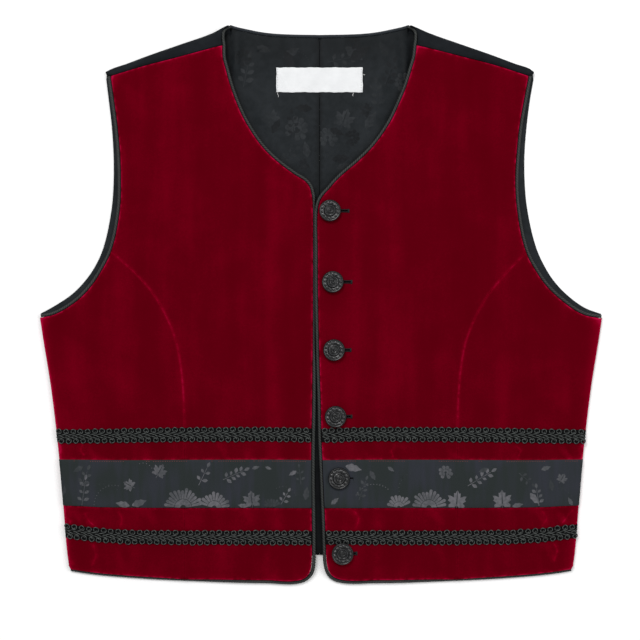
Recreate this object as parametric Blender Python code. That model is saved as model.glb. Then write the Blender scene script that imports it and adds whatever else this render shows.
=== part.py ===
"""Folk-dress waistcoat laid flat, front up: velvet fronts on a black lined back, with trims and buttons.

Sizes are in millimetres. X runs across the waistcoat, Y up to the neck and Z off the surface it lies on.
Right and left are the wearer's, so the right front has negative X.
"""
import math

import bpy
import numpy as np
from mathutils.geometry import delaunay_2d_cdt

MM = 0.001
RIGHT, LEFT = -1, 1
GAP = 0.3

# Heights of the layers above the surface
BACK_THICK = 1.2
LINING_LOW, LINING_HIGH = 1.5, 2.5
UNDERLAP_LOW, UNDERLAP_HIGH = 2.8, 3.8
FRONT_LOW, FRONT_THICK = 3.0, 2.2
UNDERLAP_LIFT = 1.3
CHEST_LOFT = 3.0
OVERLAP_LIFT = 1.2
BAND_THICK, BRAID_THICK, BRAID_WIDTH = 1.0, 1.6, 13.0
SIDE_ROLL = ((0.0, 0.4, 2.3), (1.2, 1.4, 4.4), (3.0, FRONT_LOW, FRONT_LOW + FRONT_THICK))
LIFT_NEAR, LIFT_FAR = 36.0, 52.0
NECK_LIFT, NECK_LIFT_LOW, NECK_LIFT_HIGH, NECK_LIFT_NEAR, NECK_LIFT_FAR = 0.6, 140.0, 210.0, 90.0, 155.0
FOLD_RADIUS_NECK, FOLD_RADIUS_TIP = 3.0, 2.4
PIPING_RADIUS, HEM_PIPING_RADIUS, HIDDEN_PIPING_RADIUS = 1.35, 1.2, 0.9
BACK_SIDE_INSET, LINING_SIDE_INSET = 3.4, 6.5

# Neckline edge of cloth from the shoulder fold down: half width from the neck's centre, height
NECK_CENTRE = -1.35
NECK_EDGE = ((80.6, 251.64), (85.3, 243.0), (87.2, 232.0), (86.2, 221.0), (83.7, 212.0), (78.8, 196.0),
             (72.0, 179.6), (64.2, 163.4), (50.4, 142.7), (36.9, 129.2), (20.6, 115.9))
# The neckline's turn into each front edge: x, height
NECK_TURN = {RIGHT: ((-14.1, 110.7), (-10.4, 105.6), (-8.3, 97.5)),
             LEFT: ((12.5, 109.2), (7.0, 102.8), (2.0, 97.3), (-1.2, 91.5))}
# Front edges of the velvet: height, right front's x, left front's x
FRONT_EDGE = ((84.0, -7.4, -2.7), (48.0, -7.3, -2.8), (8.0, -7.4, -2.6), (-32.0, -7.6, -1.8),
              (-60.0, -7.8, -1.1), (-86.0, -8.0, -0.2), (-122.0, -8.7, 0.6), (-158.0, -8.9, 2.2),
              (-185.0, -8.5, 3.3), (-221.0, -8.2, 4.6), (-231.0, -8.3, 4.9))
# Rounded bottom corners: x, height
CORNER = {RIGHT: ((-9.6, -240.2), (-12.6, -244.8), (-17.5, -247.3)),
          LEFT: ((6.6, -239.2), (9.6, -243.9), (14.8, -246.7))}
# Hem of the velvet: half width, height, and how far the piping's middle lies outside it
HEM = ((50.0, -248.3, 1.5), (97.0, -248.4, 0.9), (148.0, -247.0, 0.6), (173.0, -245.6, 0.6),
       (198.0, -243.4, 0.7), (213.0, -241.4, 0.8), (221.5, -239.9, 0.8))
HEM_CORNER = ((225.5, -238.6), (227.4, -235.6))
# Side seam: half width, height
SIDE_SEAM = ((252.5, -16.0), (249.8, -33.0), (243.5, -73.0), (238.3, -114.0), (234.3, -154.0),
             (231.0, -195.0), (228.8, -224.0), (227.6, -234.5))
# Armhole edge of the back: half width, height, and how far inside it the front's velvet ends
ARMHOLE = ((193.4, 206.6, 4.6), (190.6, 193.0, 4.8), (187.2, 165.0, 5.2), (184.8, 132.0, 5.8),
           (185.3, 103.0, 6.5), (188.4, 76.0, 7.1), (194.6, 50.0, 7.2), (204.5, 30.0, 7.0),
           (219.0, 12.4, 6.5), (236.0, 0.2, 5.6), (248.8, -8.4, 5.0))
PRINCESS_ROW = 6
# Princess seam below the armhole: half width, height
PRINCESS = ((162.7, 23.6), (148.7, 6.3), (135.8, -18.0), (129.5, -36.0), (125.2, -62.0), (123.1, -100.0),
            (123.1, -150.0), (123.1, -200.0))
PRINCESS_HEM = (123.1, -247.9)
# Fold along the top of the shoulder, and the seam in front of it: half width, height. Their first rows are
# measured from the neck's centre.
SHOULDER_FOLD = ((86.4, 248.7), (98.0, 243.4), (126.0, 233.8), (155.0, 223.9), (176.0, 216.0),
                 (193.4, 208.8))
SHOULDER_SEAM = ((87.2, 232.0), (126.0, 222.6), (156.0, 215.4), (188.4, 206.2))
# Neck edge of the back: half width from the neck's centre, height
BACK_NECK = ((0.0, 239.0), (30.0, 239.6), (43.0, 240.4), (54.0, 241.8), (65.0, 244.2), (76.0, 246.6))
# Hem of the back: half width, height
BACK_HEM = ((223.5, -233.0), (150.0, -234.5), (80.0, -231.5), (0.0, -226.3))
LINING_HEM_RISE = 2.0
# Trims across each front: half width, upper braid's middle, band's top, band's bottom, lower braid's middle
TRIMS = ((0.0, -118.2, -140.4, -183.4, -210.1), (30.0, -117.2, -139.9, -183.4, -210.1),
         (120.0, -117.4, -140.1, -183.4, -210.1), (170.0, -118.2, -140.4, -183.2, -209.6),
         (200.0, -118.8, -140.3, -182.7, -207.9), (216.0, -119.0, -140.0, -181.8, -205.8),
         (240.0, -119.0, -139.8, -181.0, -203.2))
TRIM_STATIONS = (LIFT_NEAR, LIFT_FAR, 80.0, 105.0, 123.1, 148.0, 173.0, 198.0, 213.0)
UNDERLAP = ((-19.0, 95.0), (-8.0, 97.5), (24.0, 90.0), (31.0, 40.0), (33.0, -60.0), (33.0, -236.0),
            (4.0, -225.4), (-19.0, -222.0))
# Buttons: x, height, and the x where the buttonhole ends
BUTTONS = ((8.1, 83.7, 24.3), (10.5, 19.8, 27.0), (11.7, -41.4, 26.1), (13.1, -101.2, 27.0),
           (16.2, -156.6, 29.0), (19.4, -224.3, 31.5))
BUTTON_RADIUS, SHANK_RADIUS, BUTTON_RISE = 9.8, 1.4, 2.4
# Turned profile of a button's head: radius, height above its underside
BUTTON_PROFILE = ((BUTTON_RADIUS - 1.4, 0.0), (BUTTON_RADIUS, 0.5), (BUTTON_RADIUS, 1.3),
                  (BUTTON_RADIUS - 0.9, 1.9), (BUTTON_RADIUS - 2.4, 1.7), (4.6, 2.6), (3.0, 3.2), (0.0, 3.5))
SLOT_HALF = 0.5
LABEL_SIZE, LABEL_CENTRE, LABEL_THICK = (78.0, 22.5), (-1.35, 202.0), 0.5

EDGE_STEP = 14.0
GRID_STEP = 30.0

COLOURS = {
    "velvet": ((0.115, 0.0015, 0.004), 0.9),
    "cloth": ((0.014, 0.017, 0.02), 0.8),
    "lining": ((0.016, 0.018, 0.022), 0.45),
    "band": ((0.026, 0.03, 0.035), 0.5),
    "braid": ((0.011, 0.012, 0.013), 0.6),
    "piping": ((0.022, 0.026, 0.025), 0.6),
    "button": ((0.012, 0.014, 0.014), 0.25),
    "label": ((0.85, 0.86, 0.87), 0.7),
}


def clear_scene():
    for old in list(bpy.data.objects):
        bpy.data.objects.remove(old, do_unlink=True)


def smooth_path(rows, step=EDGE_STEP):
    """Points along a smooth curve through the rows, each span cut to about the step."""
    knots = np.array(rows, float)
    ends = np.vstack([2 * knots[0] - knots[1], knots, 2 * knots[-1] - knots[-2]])
    points = [knots[0]]
    for before, start, end, after in zip(ends, ends[1:], ends[2:], ends[3:]):
        span = np.linalg.norm((end - start)[:2])
        gap_in, gap_out = np.linalg.norm((start - before)[:2]), np.linalg.norm((after - end)[:2])
        slope_in = ((end - start) / span + (start - before) / gap_in) / 2
        slope_out = ((end - start) / span + (after - end) / gap_out) / 2
        count = max(1, math.ceil(span / step - 0.2))
        for t in np.arange(1, count + 1) / count:
            points.append((2 * t**3 - 3 * t**2 + 1) * start + (t**3 - 2 * t**2 + t) * span * slope_in
                          + (3 * t**2 - 2 * t**3) * end + (t**3 - t**2) * span * slope_out)
    return np.array(points)


def normals(path):
    """Unit vectors to the left of a path at each of its points."""
    along = np.gradient(path[:, :2], axis=0)
    along /= np.linalg.norm(along, axis=1)[:, None]
    return np.column_stack([-along[:, 1], along[:, 0]])


def shifted(path, distance):
    """The path moved to its left by a distance, or by one for each point."""
    return path[:, :2] + normals(path) * np.reshape(distance, (-1, 1))


def mirrored(side, rows, centre=0.0):
    table = np.array(rows, float)
    table[:, 0] = centre + side * table[:, 0]
    return table


def table_at(rows, column, x):
    table = np.array(rows, float)
    order = np.argsort(table[:, 0])
    return np.interp(x, table[order, 0], table[order, column])


def distance_to(path, x, y):
    """Shortest distance from one point to a path."""
    start, end = path[:-1, :2], path[1:, :2]
    run = end - start
    point = np.array([x, y])
    t = np.clip(((point - start) * run).sum(1) / (run * run).sum(1), 0, 1)
    return np.linalg.norm(point - start - run * t[:, None], axis=1).min()


def inside(polygon, x, y):
    crossing = False
    for (ax, ay), (bx, by) in zip(polygon, np.roll(polygon, -1, axis=0)):
        if (ay > y) != (by > y) and x < ax + (bx - ax) * (y - ay) / (by - ay):
            crossing = not crossing
    return crossing


def ease(t):
    t = min(max(t, 0.0), 1.0)
    return t * t * (3 - 2 * t)


# Edges of the fronts

def front_edge(side):
    """Free edge of one front, from the shoulder down the neckline and the front edge to the hem."""
    column = 1 if side == RIGHT else 2
    neck = [tuple(row) for row in mirrored(side, NECK_EDGE, NECK_CENTRE)]
    closing = [(row[column], row[0]) for row in FRONT_EDGE]
    hem = [(side * row[0], row[1]) for row in HEM[:2]]
    return neck + list(NECK_TURN[side]) + closing + list(CORNER[side]) + hem


def free_edge(side):
    """The front's free edge from the shoulder seam to the hem's princess seam."""
    rows = front_edge(side)[2:] + [(side * PRINCESS_HEM[0], PRINCESS_HEM[1])]
    return smooth_path(rows)


def armhole(side):
    return smooth_path(mirrored(side, ARMHOLE))


def velvet_armhole(side):
    """Armhole edge of the velvet, and the index on it where the princess seam starts."""
    path = armhole(side)
    edge = shifted(path, -side * path[:, 2])
    knot = mirrored(side, ARMHOLE)[PRINCESS_ROW]
    return edge, int(np.argmin(np.linalg.norm(path - knot, axis=1)))


def princess(side, gap):
    """Princess seam from the armhole to the hem, moved by a gap towards the side seam."""
    edge, split = velvet_armhole(side)
    rows = [tuple(edge[split])] + [(side * row[0], row[1]) for row in PRINCESS + (PRINCESS_HEM,)]
    path = smooth_path(rows, 2 * EDGE_STEP)
    return shifted(path, side * gap)


def side_seam(side):
    return smooth_path(mirrored(side, SIDE_SEAM), 2 * EDGE_STEP)


def front_outline(side):
    """Whole edge of a front, used for the height of its loft."""
    edge, _ = velvet_armhole(side)
    return np.vstack([free_edge(side), side_seam(side)[::-1], edge[::-1], free_edge(side)[:1]])


# Heights of the fronts

def front_lift(side, x, y):
    """Height that a front gains from the underlap, the closing edge's overlap, the shoulder and its own loft."""
    away = abs(x)
    lift = UNDERLAP_LIFT * min(max((LIFT_FAR - away) / (LIFT_FAR - LIFT_NEAR), 0.0), 1.0)
    if side == LEFT:
        lift += OVERLAP_LIFT * ease((LIFT_FAR - away) / LIFT_NEAR) * ease((y + 90.0) / 70.0)
    lift += (NECK_LIFT * ease((y - NECK_LIFT_LOW) / (NECK_LIFT_HIGH - NECK_LIFT_LOW))
             * ease((NECK_LIFT_FAR - away) / (NECK_LIFT_FAR - NECK_LIFT_NEAR)))
    fade = ease((away - 45.0) / 50.0) * ease((y + 100.0) / 60.0)
    if fade > 0.0:
        lift += CHEST_LOFT * fade * ease(distance_to(OUTLINES[side], x, y) / 55.0)
    return lift


def roll_height(side, x, y, column):
    """Height at the side seam, where the velvet rolls down to the surface."""
    roll = np.array(SIDE_ROLL)
    return np.interp(distance_to(SEAMS[side], x, y), roll[:, 0], roll[:, column])


def front_bottom(side):
    return lambda x, y: roll_height(side, x, y, 1) + front_lift(side, x, y)


def front_top(side):
    return lambda x, y: roll_height(side, x, y, 2) + front_lift(side, x, y)


# Solids

def add_object(name, points, faces, look):
    mesh = bpy.data.meshes.new(name)
    mesh.from_pydata([tuple(np.array(point) * MM) for point in points], [], faces)
    mesh.update()
    colour, roughness = COLOURS[look]
    material = bpy.data.materials.new(name)
    material.use_nodes = True
    shader = material.node_tree.nodes["Principled BSDF"]
    shader.inputs["Base Color"].default_value = (*colour, 1.0)
    shader.inputs["Roughness"].default_value = roughness
    mesh.materials.append(material)
    piece = bpy.data.objects.new(name, mesh)
    bpy.context.collection.objects.link(piece)
    return piece


def triangulate(outline, holes, lines, step):
    """Triangles inside an outline, on its points, its holes, its inner lines and a plain grid."""
    points, edges = [], []

    def add(path, closed):
        first = len(points)
        points.extend((float(x), float(y)) for x, y in path)
        edges.extend((first + i, first + i + 1) for i in range(len(path) - 1))
        if closed:
            edges.append((len(points) - 1, first))

    add(outline, True)
    for hole in holes:
        add(hole, True)
    for line in lines:
        add(line, False)
    fixed = np.array(points)
    low, high = fixed.min(0), fixed.max(0)
    for row, y in enumerate(np.arange(low[1] + step / 2, high[1], step * 0.87)):
        for x in np.arange(low[0] + step * (0.25 + 0.5 * (row % 2)), high[0], step):
            if inside(outline, x, y) and np.linalg.norm(fixed - (x, y), axis=1).min() > 0.45 * step:
                points.append((float(x), float(y)))
    vertices, _, faces, *_ = delaunay_2d_cdt(points, edges, [], 0, 1e-6)
    kept = []
    for face in faces:
        x, y = np.mean([vertices[i] for i in face], axis=0)
        if inside(outline, x, y) and not any(inside(hole, x, y) for hole in holes):
            (ax, ay), (bx, by), (cx, cy) = (vertices[i] for i in face)
            turn = (bx - ax) * (cy - ay) - (by - ay) * (cx - ax)
            kept.append(tuple(face) if turn > 0 else tuple(reversed(face)))
    return vertices, kept


def cloth_solid(name, outline, bottom, top, look, holes=(), lines=(), step=GRID_STEP, fold=None):
    """Closed wall of cloth between two heights, with an optional fold that carries one edge over the top."""
    flat, triangles = triangulate(outline, holes, lines, step)
    count = len(flat)
    points = [(x, y, bottom(x, y)) for x, y in flat] + [(x, y, top(x, y)) for x, y in flat]
    faces = [tuple(i + count for i in face) for face in triangles] + [face[::-1] for face in triangles]
    half_edges = {(face[i], face[i - 2]) for face in triangles for i in range(3)}
    rim = [(a, b) for a, b in half_edges if (b, a) not in half_edges]
    chains = {}
    if fold:
        for start in {i for edge in rim for i in edge}:
            outer, inner = fold(*flat[start])
            if outer:
                chains[start] = ([start] + list(range(len(points), len(points) + len(outer))),
                                 [start + count] + list(range(len(points) + len(outer),
                                                              len(points) + len(outer) + len(inner))))
                points += outer + inner
    for a, b in rim:
        if a in chains and b in chains:
            ring_a, ring_b = (chains[i][0] + chains[i][1][::-1] for i in (a, b))
            faces += [(ring_a[k], ring_b[k], ring_b[k + 1], ring_a[k + 1]) for k in range(len(ring_a) - 1)]
            continue
        faces.append((a, b, b + count, a + count))
        if a in chains:
            faces += end_cap(*chains[a], reverse=True)
        if b in chains:
            faces += end_cap(*chains[b], reverse=False)
    return add_object(name, points, faces, look)


def end_cap(outer, inner, reverse):
    """Faces that close the cut end of a fold."""
    caps = [(outer[k], outer[k + 1], inner[k + 1], inner[k]) for k in range(len(outer) - 1)]
    return [cap[::-1] for cap in caps] if reverse else caps


def tube(name, path, radii, look, sides=6):
    """Round cord along a path, with flat ends."""
    centres = np.array(path, float)
    along = np.gradient(centres, axis=0)
    along /= np.linalg.norm(along, axis=1)[:, None]
    points, faces = [], []
    for centre, way, radius in zip(centres, along, radii):
        across = np.cross(way, (0.0, 0.0, 1.0))
        across /= np.linalg.norm(across)
        lift = np.cross(across, way)
        for k in range(sides):
            angle = 2 * math.pi * (k + 0.5) / sides
            points.append(centre + radius * (math.cos(angle) * across + math.sin(angle) * lift))
    for ring in range(len(centres) - 1):
        for k in range(sides):
            a, b = ring * sides + k, ring * sides + (k + 1) % sides
            faces.append((b, a, a + sides, b + sides))
    faces.append(tuple(range(sides)))
    faces.append(tuple(reversed(range(len(points) - sides, len(points)))))
    return add_object(name, points, faces, look)


# Back and lining

def shoulder_normal(side):
    start, end = np.array(SHOULDER_FOLD[0]), np.array(SHOULDER_FOLD[-1])
    run = (end - start) / np.linalg.norm(end - start)
    return np.array([side * -run[1], run[0]])


def neck_first(side, rows):
    """Shoulder rows of one side, whose first row is measured from the neck's centre."""
    table = mirrored(side, rows)
    table[0, 0] += NECK_CENTRE
    return table


def fold_start(side):
    """Line inside the shoulder fold where the back leaves the surface, and the fold's radius along it."""
    path = smooth_path(neck_first(side, SHOULDER_FOLD), 2 * EDGE_STEP)
    share = np.linalg.norm(path - path[-1], axis=1) / np.linalg.norm(path[0] - path[-1])
    radii = FOLD_RADIUS_TIP + (FOLD_RADIUS_NECK - FOLD_RADIUS_TIP) * share
    return path - shoulder_normal(side) * radii[:, None], radii


def shoulder_seam(side, offset):
    """Seam between the forward shoulder and the velvet, with a point for each one on the fold's start."""
    path = smooth_path(neck_first(side, SHOULDER_SEAM), 2 * EDGE_STEP)
    along, wanted = (np.r_[0, np.cumsum(np.linalg.norm(np.diff(line, axis=0), axis=1))]
                     for line in (path, fold_start(side)[0]))
    share = wanted / wanted[-1] * along[-1]
    seam = np.column_stack([np.interp(share, along, path[:, 0]), np.interp(share, along, path[:, 1])])
    return seam + shoulder_normal(side) * offset


def shoulder_fold(side):
    """The back's forward shoulder: round the fold and on to the seam, for a point on the fold's start."""
    start_line, radii = fold_start(side)
    seam = shoulder_seam(side, GAP / 2)
    surface = front_top(side)
    out = shoulder_normal(side)

    def chain(x, y):
        away = np.linalg.norm(start_line - (x, y), axis=1)
        if away.min() > 0.01:
            return [], []
        middle, (seam_x, seam_y) = radii[away.argmin()], seam[away.argmin()]
        outer, inner = [], []
        for points, depth in ((outer, 0.0), (inner, BACK_THICK)):
            for k in range(1, 5):
                angle = math.pi * k / 4
                reach = (middle - depth) * math.sin(angle)
                rise = middle - (middle - depth) * math.cos(angle)
                points.append((x + out[0] * reach, y + out[1] * reach, rise))
            points.append((seam_x, seam_y, surface(seam_x, seam_y) - GAP - depth))
        return outer, inner

    return chain


def back_outline(side, side_inset, armhole_inset, hem_rise, shoulder_inset):
    """Edge of one half of the back, between the centre-back seam and the side seam."""
    neck = smooth_path(mirrored(side, BACK_NECK, NECK_CENTRE), 2 * EDGE_STEP)
    neck[0, 0] += side * GAP / 2
    shoulder = fold_start(side)[0] - shoulder_normal(side) * shoulder_inset
    arm = armhole(side)
    arm = shifted(arm, -side * armhole_inset)[1:]
    seam = shifted(side_seam(side), -side * side_inset)
    hem = smooth_path(mirrored(side, BACK_HEM), 3 * EDGE_STEP)[1:] + (0.0, hem_rise)
    hem[-1, 0] = NECK_CENTRE + side * GAP / 2
    return np.vstack([neck, shoulder, arm, seam[:-1], hem])


def make_back(side, word):
    cloth_solid("back_" + word, back_outline(side, BACK_SIDE_INSET, 0.0, 0.0, 0.0), lambda x, y: 0.0,
                lambda x, y: BACK_THICK, "cloth", step=60.0, fold=shoulder_fold(side))
    cloth_solid("back_lining_" + word, back_outline(side, LINING_SIDE_INSET, 0.8, LINING_HEM_RISE, GAP),
                lambda x, y: LINING_LOW, lambda x, y: LINING_HIGH, "lining", step=60.0)


# Fronts

def lift_lines(side, low, high):
    """Inner lines where the underlap's lift starts and ends."""
    heights = np.arange(low, high, 2 * EDGE_STEP)
    return [[(side * x, y) for y in heights] for x in (LIFT_NEAR, LIFT_FAR)]


def buttonhole(x, y, end):
    """Keyhole slot: round about the shank, then straight to its end."""
    reach = SHANK_RADIUS + GAP + 0.3
    start = math.asin(SLOT_HALF / reach)
    angles = np.linspace(start, 2 * math.pi - start, 8)
    return [(end, y - SLOT_HALF), (end, y + SLOT_HALF)] + [
        (x + reach * math.cos(a), y + reach * math.sin(a)) for a in angles]


def make_front(side, word):
    edge, split = velvet_armhole(side)
    seam = shoulder_seam(side, -GAP / 2)[1:]
    free = free_edge(side)
    free[0] = free[0] - shoulder_normal(side) * GAP / 2
    inner = princess(side, -GAP / 2)
    inner[-1] = (side * (PRINCESS_HEM[0] - GAP / 2), PRINCESS_HEM[1])
    outline = np.vstack([free[:-1], inner[::-1][:-1], edge[1:split][::-1], seam[::-1]])
    holes = [buttonhole(*button) for button in BUTTONS] if side == LEFT else []
    cloth_solid("front_" + word + "_centre", outline, front_bottom(side), front_top(side), "velvet",
                holes=holes, lines=lift_lines(side, -240.0, 100.0))

    outer = princess(side, GAP / 2)
    outer[-1] = (side * (PRINCESS_HEM[0] + GAP / 2), PRINCESS_HEM[1])
    hem = smooth_path([(side * row[0], row[1]) for row in (PRINCESS_HEM,) + tuple(
        row[:2] for row in HEM[2:]) + HEM_CORNER], 2 * EDGE_STEP)[1:]
    rolled = side_seam(side)
    outline = np.vstack([outer, hem, rolled[::-1], edge[split + 1:][::-1]])
    rings = [shifted(rolled, -side * depth)[:-1] for depth, _, _ in SIDE_ROLL[1:]]
    rings = [ring[1:] for ring in rings]
    cloth_solid("front_" + word + "_side", outline, front_bottom(side), front_top(side), "velvet", lines=rings)


# Trims on the fronts

def roll_path(side, high, low, depth):
    """Points at a depth inside the side seam, from one height down to another."""
    line = shifted(SEAMS[side], -side * depth)
    heights = [high] + [y for y in line[:, 1] if low < y < high] + [low]
    return [(np.interp(-y, -line[:, 1], line[:, 0]), y) for y in heights]


def strip(name, side, top_edge, bottom_edge, thick, look, holes=()):
    """Flat trim across a front, between two edges, made from the velvet's own heights."""
    column = 1 if side == RIGHT else 2
    closing = np.array(FRONT_EDGE)[::-1]
    high, low = top_edge(SIDE_SEAM[4][0]), bottom_edge(SIDE_SEAM[4][0])
    rolls = [roll_path(side, high, low, depth) for depth, _, _ in SIDE_ROLL]

    def along(edge, end):
        start = np.interp(edge(20.0), closing[:, 0], closing[:, column]) + side * GAP
        stations = [start] + [side * x for x in TRIM_STATIONS]
        return [(x, edge(abs(x))) for x in stations] + [roll[end] for roll in rolls[:0:-1]]

    outline = along(top_edge, 0) + rolls[0] + along(bottom_edge, -1)[::-1]
    surface = front_top(side)
    lines = [roll[1:-1] for roll in rolls[1:]]
    lines += [[(side * x, edge(x)) for edge in (top_edge, bottom_edge)] for x in (LIFT_NEAR, LIFT_FAR)]
    cloth_solid(name, np.array(outline), lambda x, y: surface(x, y) + 1.2 * GAP,
                lambda x, y: surface(x, y) + 1.2 * GAP + thick, look, holes=holes, lines=lines, step=400.0)


def make_trims(side, word):
    half = BRAID_WIDTH / 2
    shank = [buttonhole(*BUTTONS[4])] if side == LEFT else []
    strip("band_" + word, side, lambda x: table_at(TRIMS, 2, x), lambda x: table_at(TRIMS, 3, x),
          BAND_THICK, "band", shank)
    for level, column in (("upper", 1), ("lower", 4)):
        strip("braid_" + level + "_" + word, side, lambda x: table_at(TRIMS, column, x) + half,
              lambda x: table_at(TRIMS, column, x) - half, BRAID_THICK, "braid")


# Piping

def make_front_piping(side, word):
    """Cord from the neck point down the neckline, the closing edge and round the corner along the hem."""
    rows = front_edge(side) + [(side * row[0], row[1]) for row in HEM[2:]]
    edge = smooth_path(rows)
    corner = CORNER[side]
    path, radii = [], []
    for (x, y), (out_x, out_y) in zip(edge, -side * normals(edge)):
        hem_part = 1.0 - ease((y - corner[2][1]) / (corner[0][1] + 6.0 - corner[2][1]))
        if y > corner[0][1] + 6.0:
            hem_part = 0.0
        tuck = ease((abs(x) - 22.0) / 40.0) if hem_part == 1.0 else 0.0
        outset = PIPING_RADIUS + GAP + 0.05
        if tuck > 0.0:
            outset += tuck * (table_at(HEM, 2, abs(x)) - outset)
        hidden = ease((97.0 - y) / 8.0) * ease((y + 62.0) / 34.0) if side == RIGHT else 0.0
        radius = PIPING_RADIUS + hidden * (HIDDEN_PIPING_RADIUS - PIPING_RADIUS)
        radius += hem_part * (HEM_PIPING_RADIUS - PIPING_RADIUS)
        outset -= hidden * (PIPING_RADIUS - HIDDEN_PIPING_RADIUS)
        height = FRONT_LOW + front_lift(side, x, y) + radius
        if side == LEFT:
            height += 0.75 * ease((105.0 - y) / 14.0) * ease((y + 62.0) / 40.0)
        else:
            height -= 0.35 * hidden
        height += hem_part * (HEM_PIPING_RADIUS + GAP - height)
        path.append((x + out_x * outset, y + out_y * outset, height))
        radii.append(radius)
    tube("piping_front_" + word, path, radii, "piping")


def make_armhole_piping(side, word):
    path = armhole(side)
    line = shifted(path, -side * (path[:, 2] - PIPING_RADIUS - GAP - 0.05))[1:]
    height = LINING_HIGH + GAP + PIPING_RADIUS
    tube("piping_armhole_" + word, [(x, y, height) for x, y in line], [PIPING_RADIUS] * len(line), "piping")


def make_neck_piping():
    half = smooth_path(BACK_NECK, 2 * EDGE_STEP)
    line = np.vstack([half[::-1] * (-1, 1), half[1:]]) + (NECK_CENTRE, 0.0)
    line = shifted(line, PIPING_RADIUS + GAP)
    height = PIPING_RADIUS + GAP
    tube("piping_back_neck", [(x, y, height) for x, y in line], [PIPING_RADIUS] * len(line), "piping")


# Closing and label

def make_underlap():
    cloth_solid("underlap", np.array(UNDERLAP)[::-1], lambda x, y: UNDERLAP_LOW, lambda x, y: UNDERLAP_HIGH,
                "cloth", step=400.0)


def make_button(name, x, y):
    """Turned shank button, with its shank down through the buttonhole to the underlap."""
    sides = 16
    head = front_top(LEFT)(x, y) + BUTTON_RISE
    profile = [(SHANK_RADIUS, UNDERLAP_HIGH + GAP), (SHANK_RADIUS, head)]
    profile += [(radius, head + rise) for radius, rise in BUTTON_PROFILE[:-1]]
    points = [(x, y, profile[0][1])]
    for radius, height in profile:
        points += [(x + radius * math.cos(2 * math.pi * k / sides), y + radius * math.sin(2 * math.pi * k / sides),
                    height) for k in range(sides)]
    points.append((x, y, head + BUTTON_PROFILE[-1][1]))
    faces = []
    for k in range(sides):
        after = (k + 1) % sides
        faces.append((0, 1 + after, 1 + k))
        for ring in range(len(profile) - 1):
            low = 1 + ring * sides
            faces.append((low + k, low + after, low + sides + after, low + sides + k))
        last = 1 + (len(profile) - 1) * sides
        faces.append((last + k, last + after, len(points) - 1))
    add_object(name, points, faces, "button")


def make_label():
    (width, height), (x, y) = LABEL_SIZE, LABEL_CENTRE
    corners = [(x + sx * width / 2, y + sy * height / 2) for sx, sy in ((-1, -1), (1, -1), (1, 1), (-1, 1))]
    cloth_solid("label", np.array(corners), lambda x, y: LINING_HIGH + GAP,
                lambda x, y: LINING_HIGH + GAP + LABEL_THICK, "label", step=400.0)


clear_scene()
OUTLINES = {side: front_outline(side) for side in (RIGHT, LEFT)}
SEAMS = {side: side_seam(side) for side in (RIGHT, LEFT)}
for which, which_word in ((RIGHT, "right"), (LEFT, "left")):
    make_back(which, which_word)
    make_front(which, which_word)
    make_trims(which, which_word)
    make_front_piping(which, which_word)
    make_armhole_piping(which, which_word)
make_neck_piping()
make_underlap()
for number, (button_x, button_y, _) in enumerate(BUTTONS, 1):
    make_button("button_" + str(number), button_x, button_y)
make_label()
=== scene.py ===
"""Looks of a folk-dress waistcoat laid flat: velvet, figured cloth, gimp, piping and cast buttons.

Sizes are in millimetres until a mesh is made. X runs across, Y up to the neck, Z off the surface.
Right and left are the wearer's, so the right front has negative X.
"""
import math

import bpy
import numpy as np
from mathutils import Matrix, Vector
from mathutils.geometry import delaunay_2d_cdt


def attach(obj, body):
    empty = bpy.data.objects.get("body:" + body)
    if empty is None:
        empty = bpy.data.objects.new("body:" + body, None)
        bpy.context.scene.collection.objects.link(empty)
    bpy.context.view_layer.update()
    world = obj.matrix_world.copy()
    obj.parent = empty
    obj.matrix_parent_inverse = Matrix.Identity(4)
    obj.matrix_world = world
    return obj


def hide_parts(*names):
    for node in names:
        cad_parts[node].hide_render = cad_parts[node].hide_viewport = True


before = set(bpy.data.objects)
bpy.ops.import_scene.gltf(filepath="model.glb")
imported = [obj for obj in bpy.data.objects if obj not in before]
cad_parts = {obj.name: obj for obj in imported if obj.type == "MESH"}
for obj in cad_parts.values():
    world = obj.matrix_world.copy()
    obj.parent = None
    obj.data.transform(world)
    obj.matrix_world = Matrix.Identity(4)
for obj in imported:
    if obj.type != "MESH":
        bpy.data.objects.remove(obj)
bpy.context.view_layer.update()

MM = 0.001
RIGHT, LEFT = -1, 1
WORDS = {RIGHT: "right", LEFT: "left"}

# Heights of the layers above the surface
BACK_THICK = 1.2
LINING_LOW, LINING_HIGH = 1.5, 2.5
UNDERLAP_LOW, UNDERLAP_HIGH = 2.8, 3.8
FRONT_LOW, FRONT_THICK = 3.0, 2.2
# How far a front rises over the underlap, with the left one's overlap, and how far out from the middle
UNDERLAP_LIFT, OVERLAP_LIFT, LIFT_NEAR, LIFT_FAR = 1.3, 1.2, 36.0, 52.0
OVERLAP_LOW, OVERLAP_RISE = -90.0, 70.0
# The same at the neck, from its lower to its upper end, fading outwards between two half widths
NECK_LIFT, NECK_LIFT_LOW, NECK_LIFT_HIGH, NECK_LIFT_NEAR, NECK_LIFT_FAR = 6.0, 135.0, 215.0, 90.0, 160.0
# Air under the chest, where it starts, how it spreads, and its distance from the edges
CHEST_LOFT, LOFT_NEAR, LOFT_SPREAD, LOFT_LOW, LOFT_RISE, LOFT_MARGIN = 3.0, 45.0, 50.0, -100.0, 60.0, 55.0
# Width of the roll at the side seam, and the heights of its two faces there
SIDE_ROLL, ROLL_LOW, ROLL_HIGH = 3.0, 0.4, 2.3
FOLD_RADIUS_NECK, FOLD_RADIUS_TIP = 5.8, 2.4
PIPING_RADIUS, HEM_PIPING_RADIUS, HIDDEN_PIPING_RADIUS = 1.45, 1.3, 1.0
CLOSING_PIPING_RADIUS = {RIGHT: 1.7, LEFT: 1.5}
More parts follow.
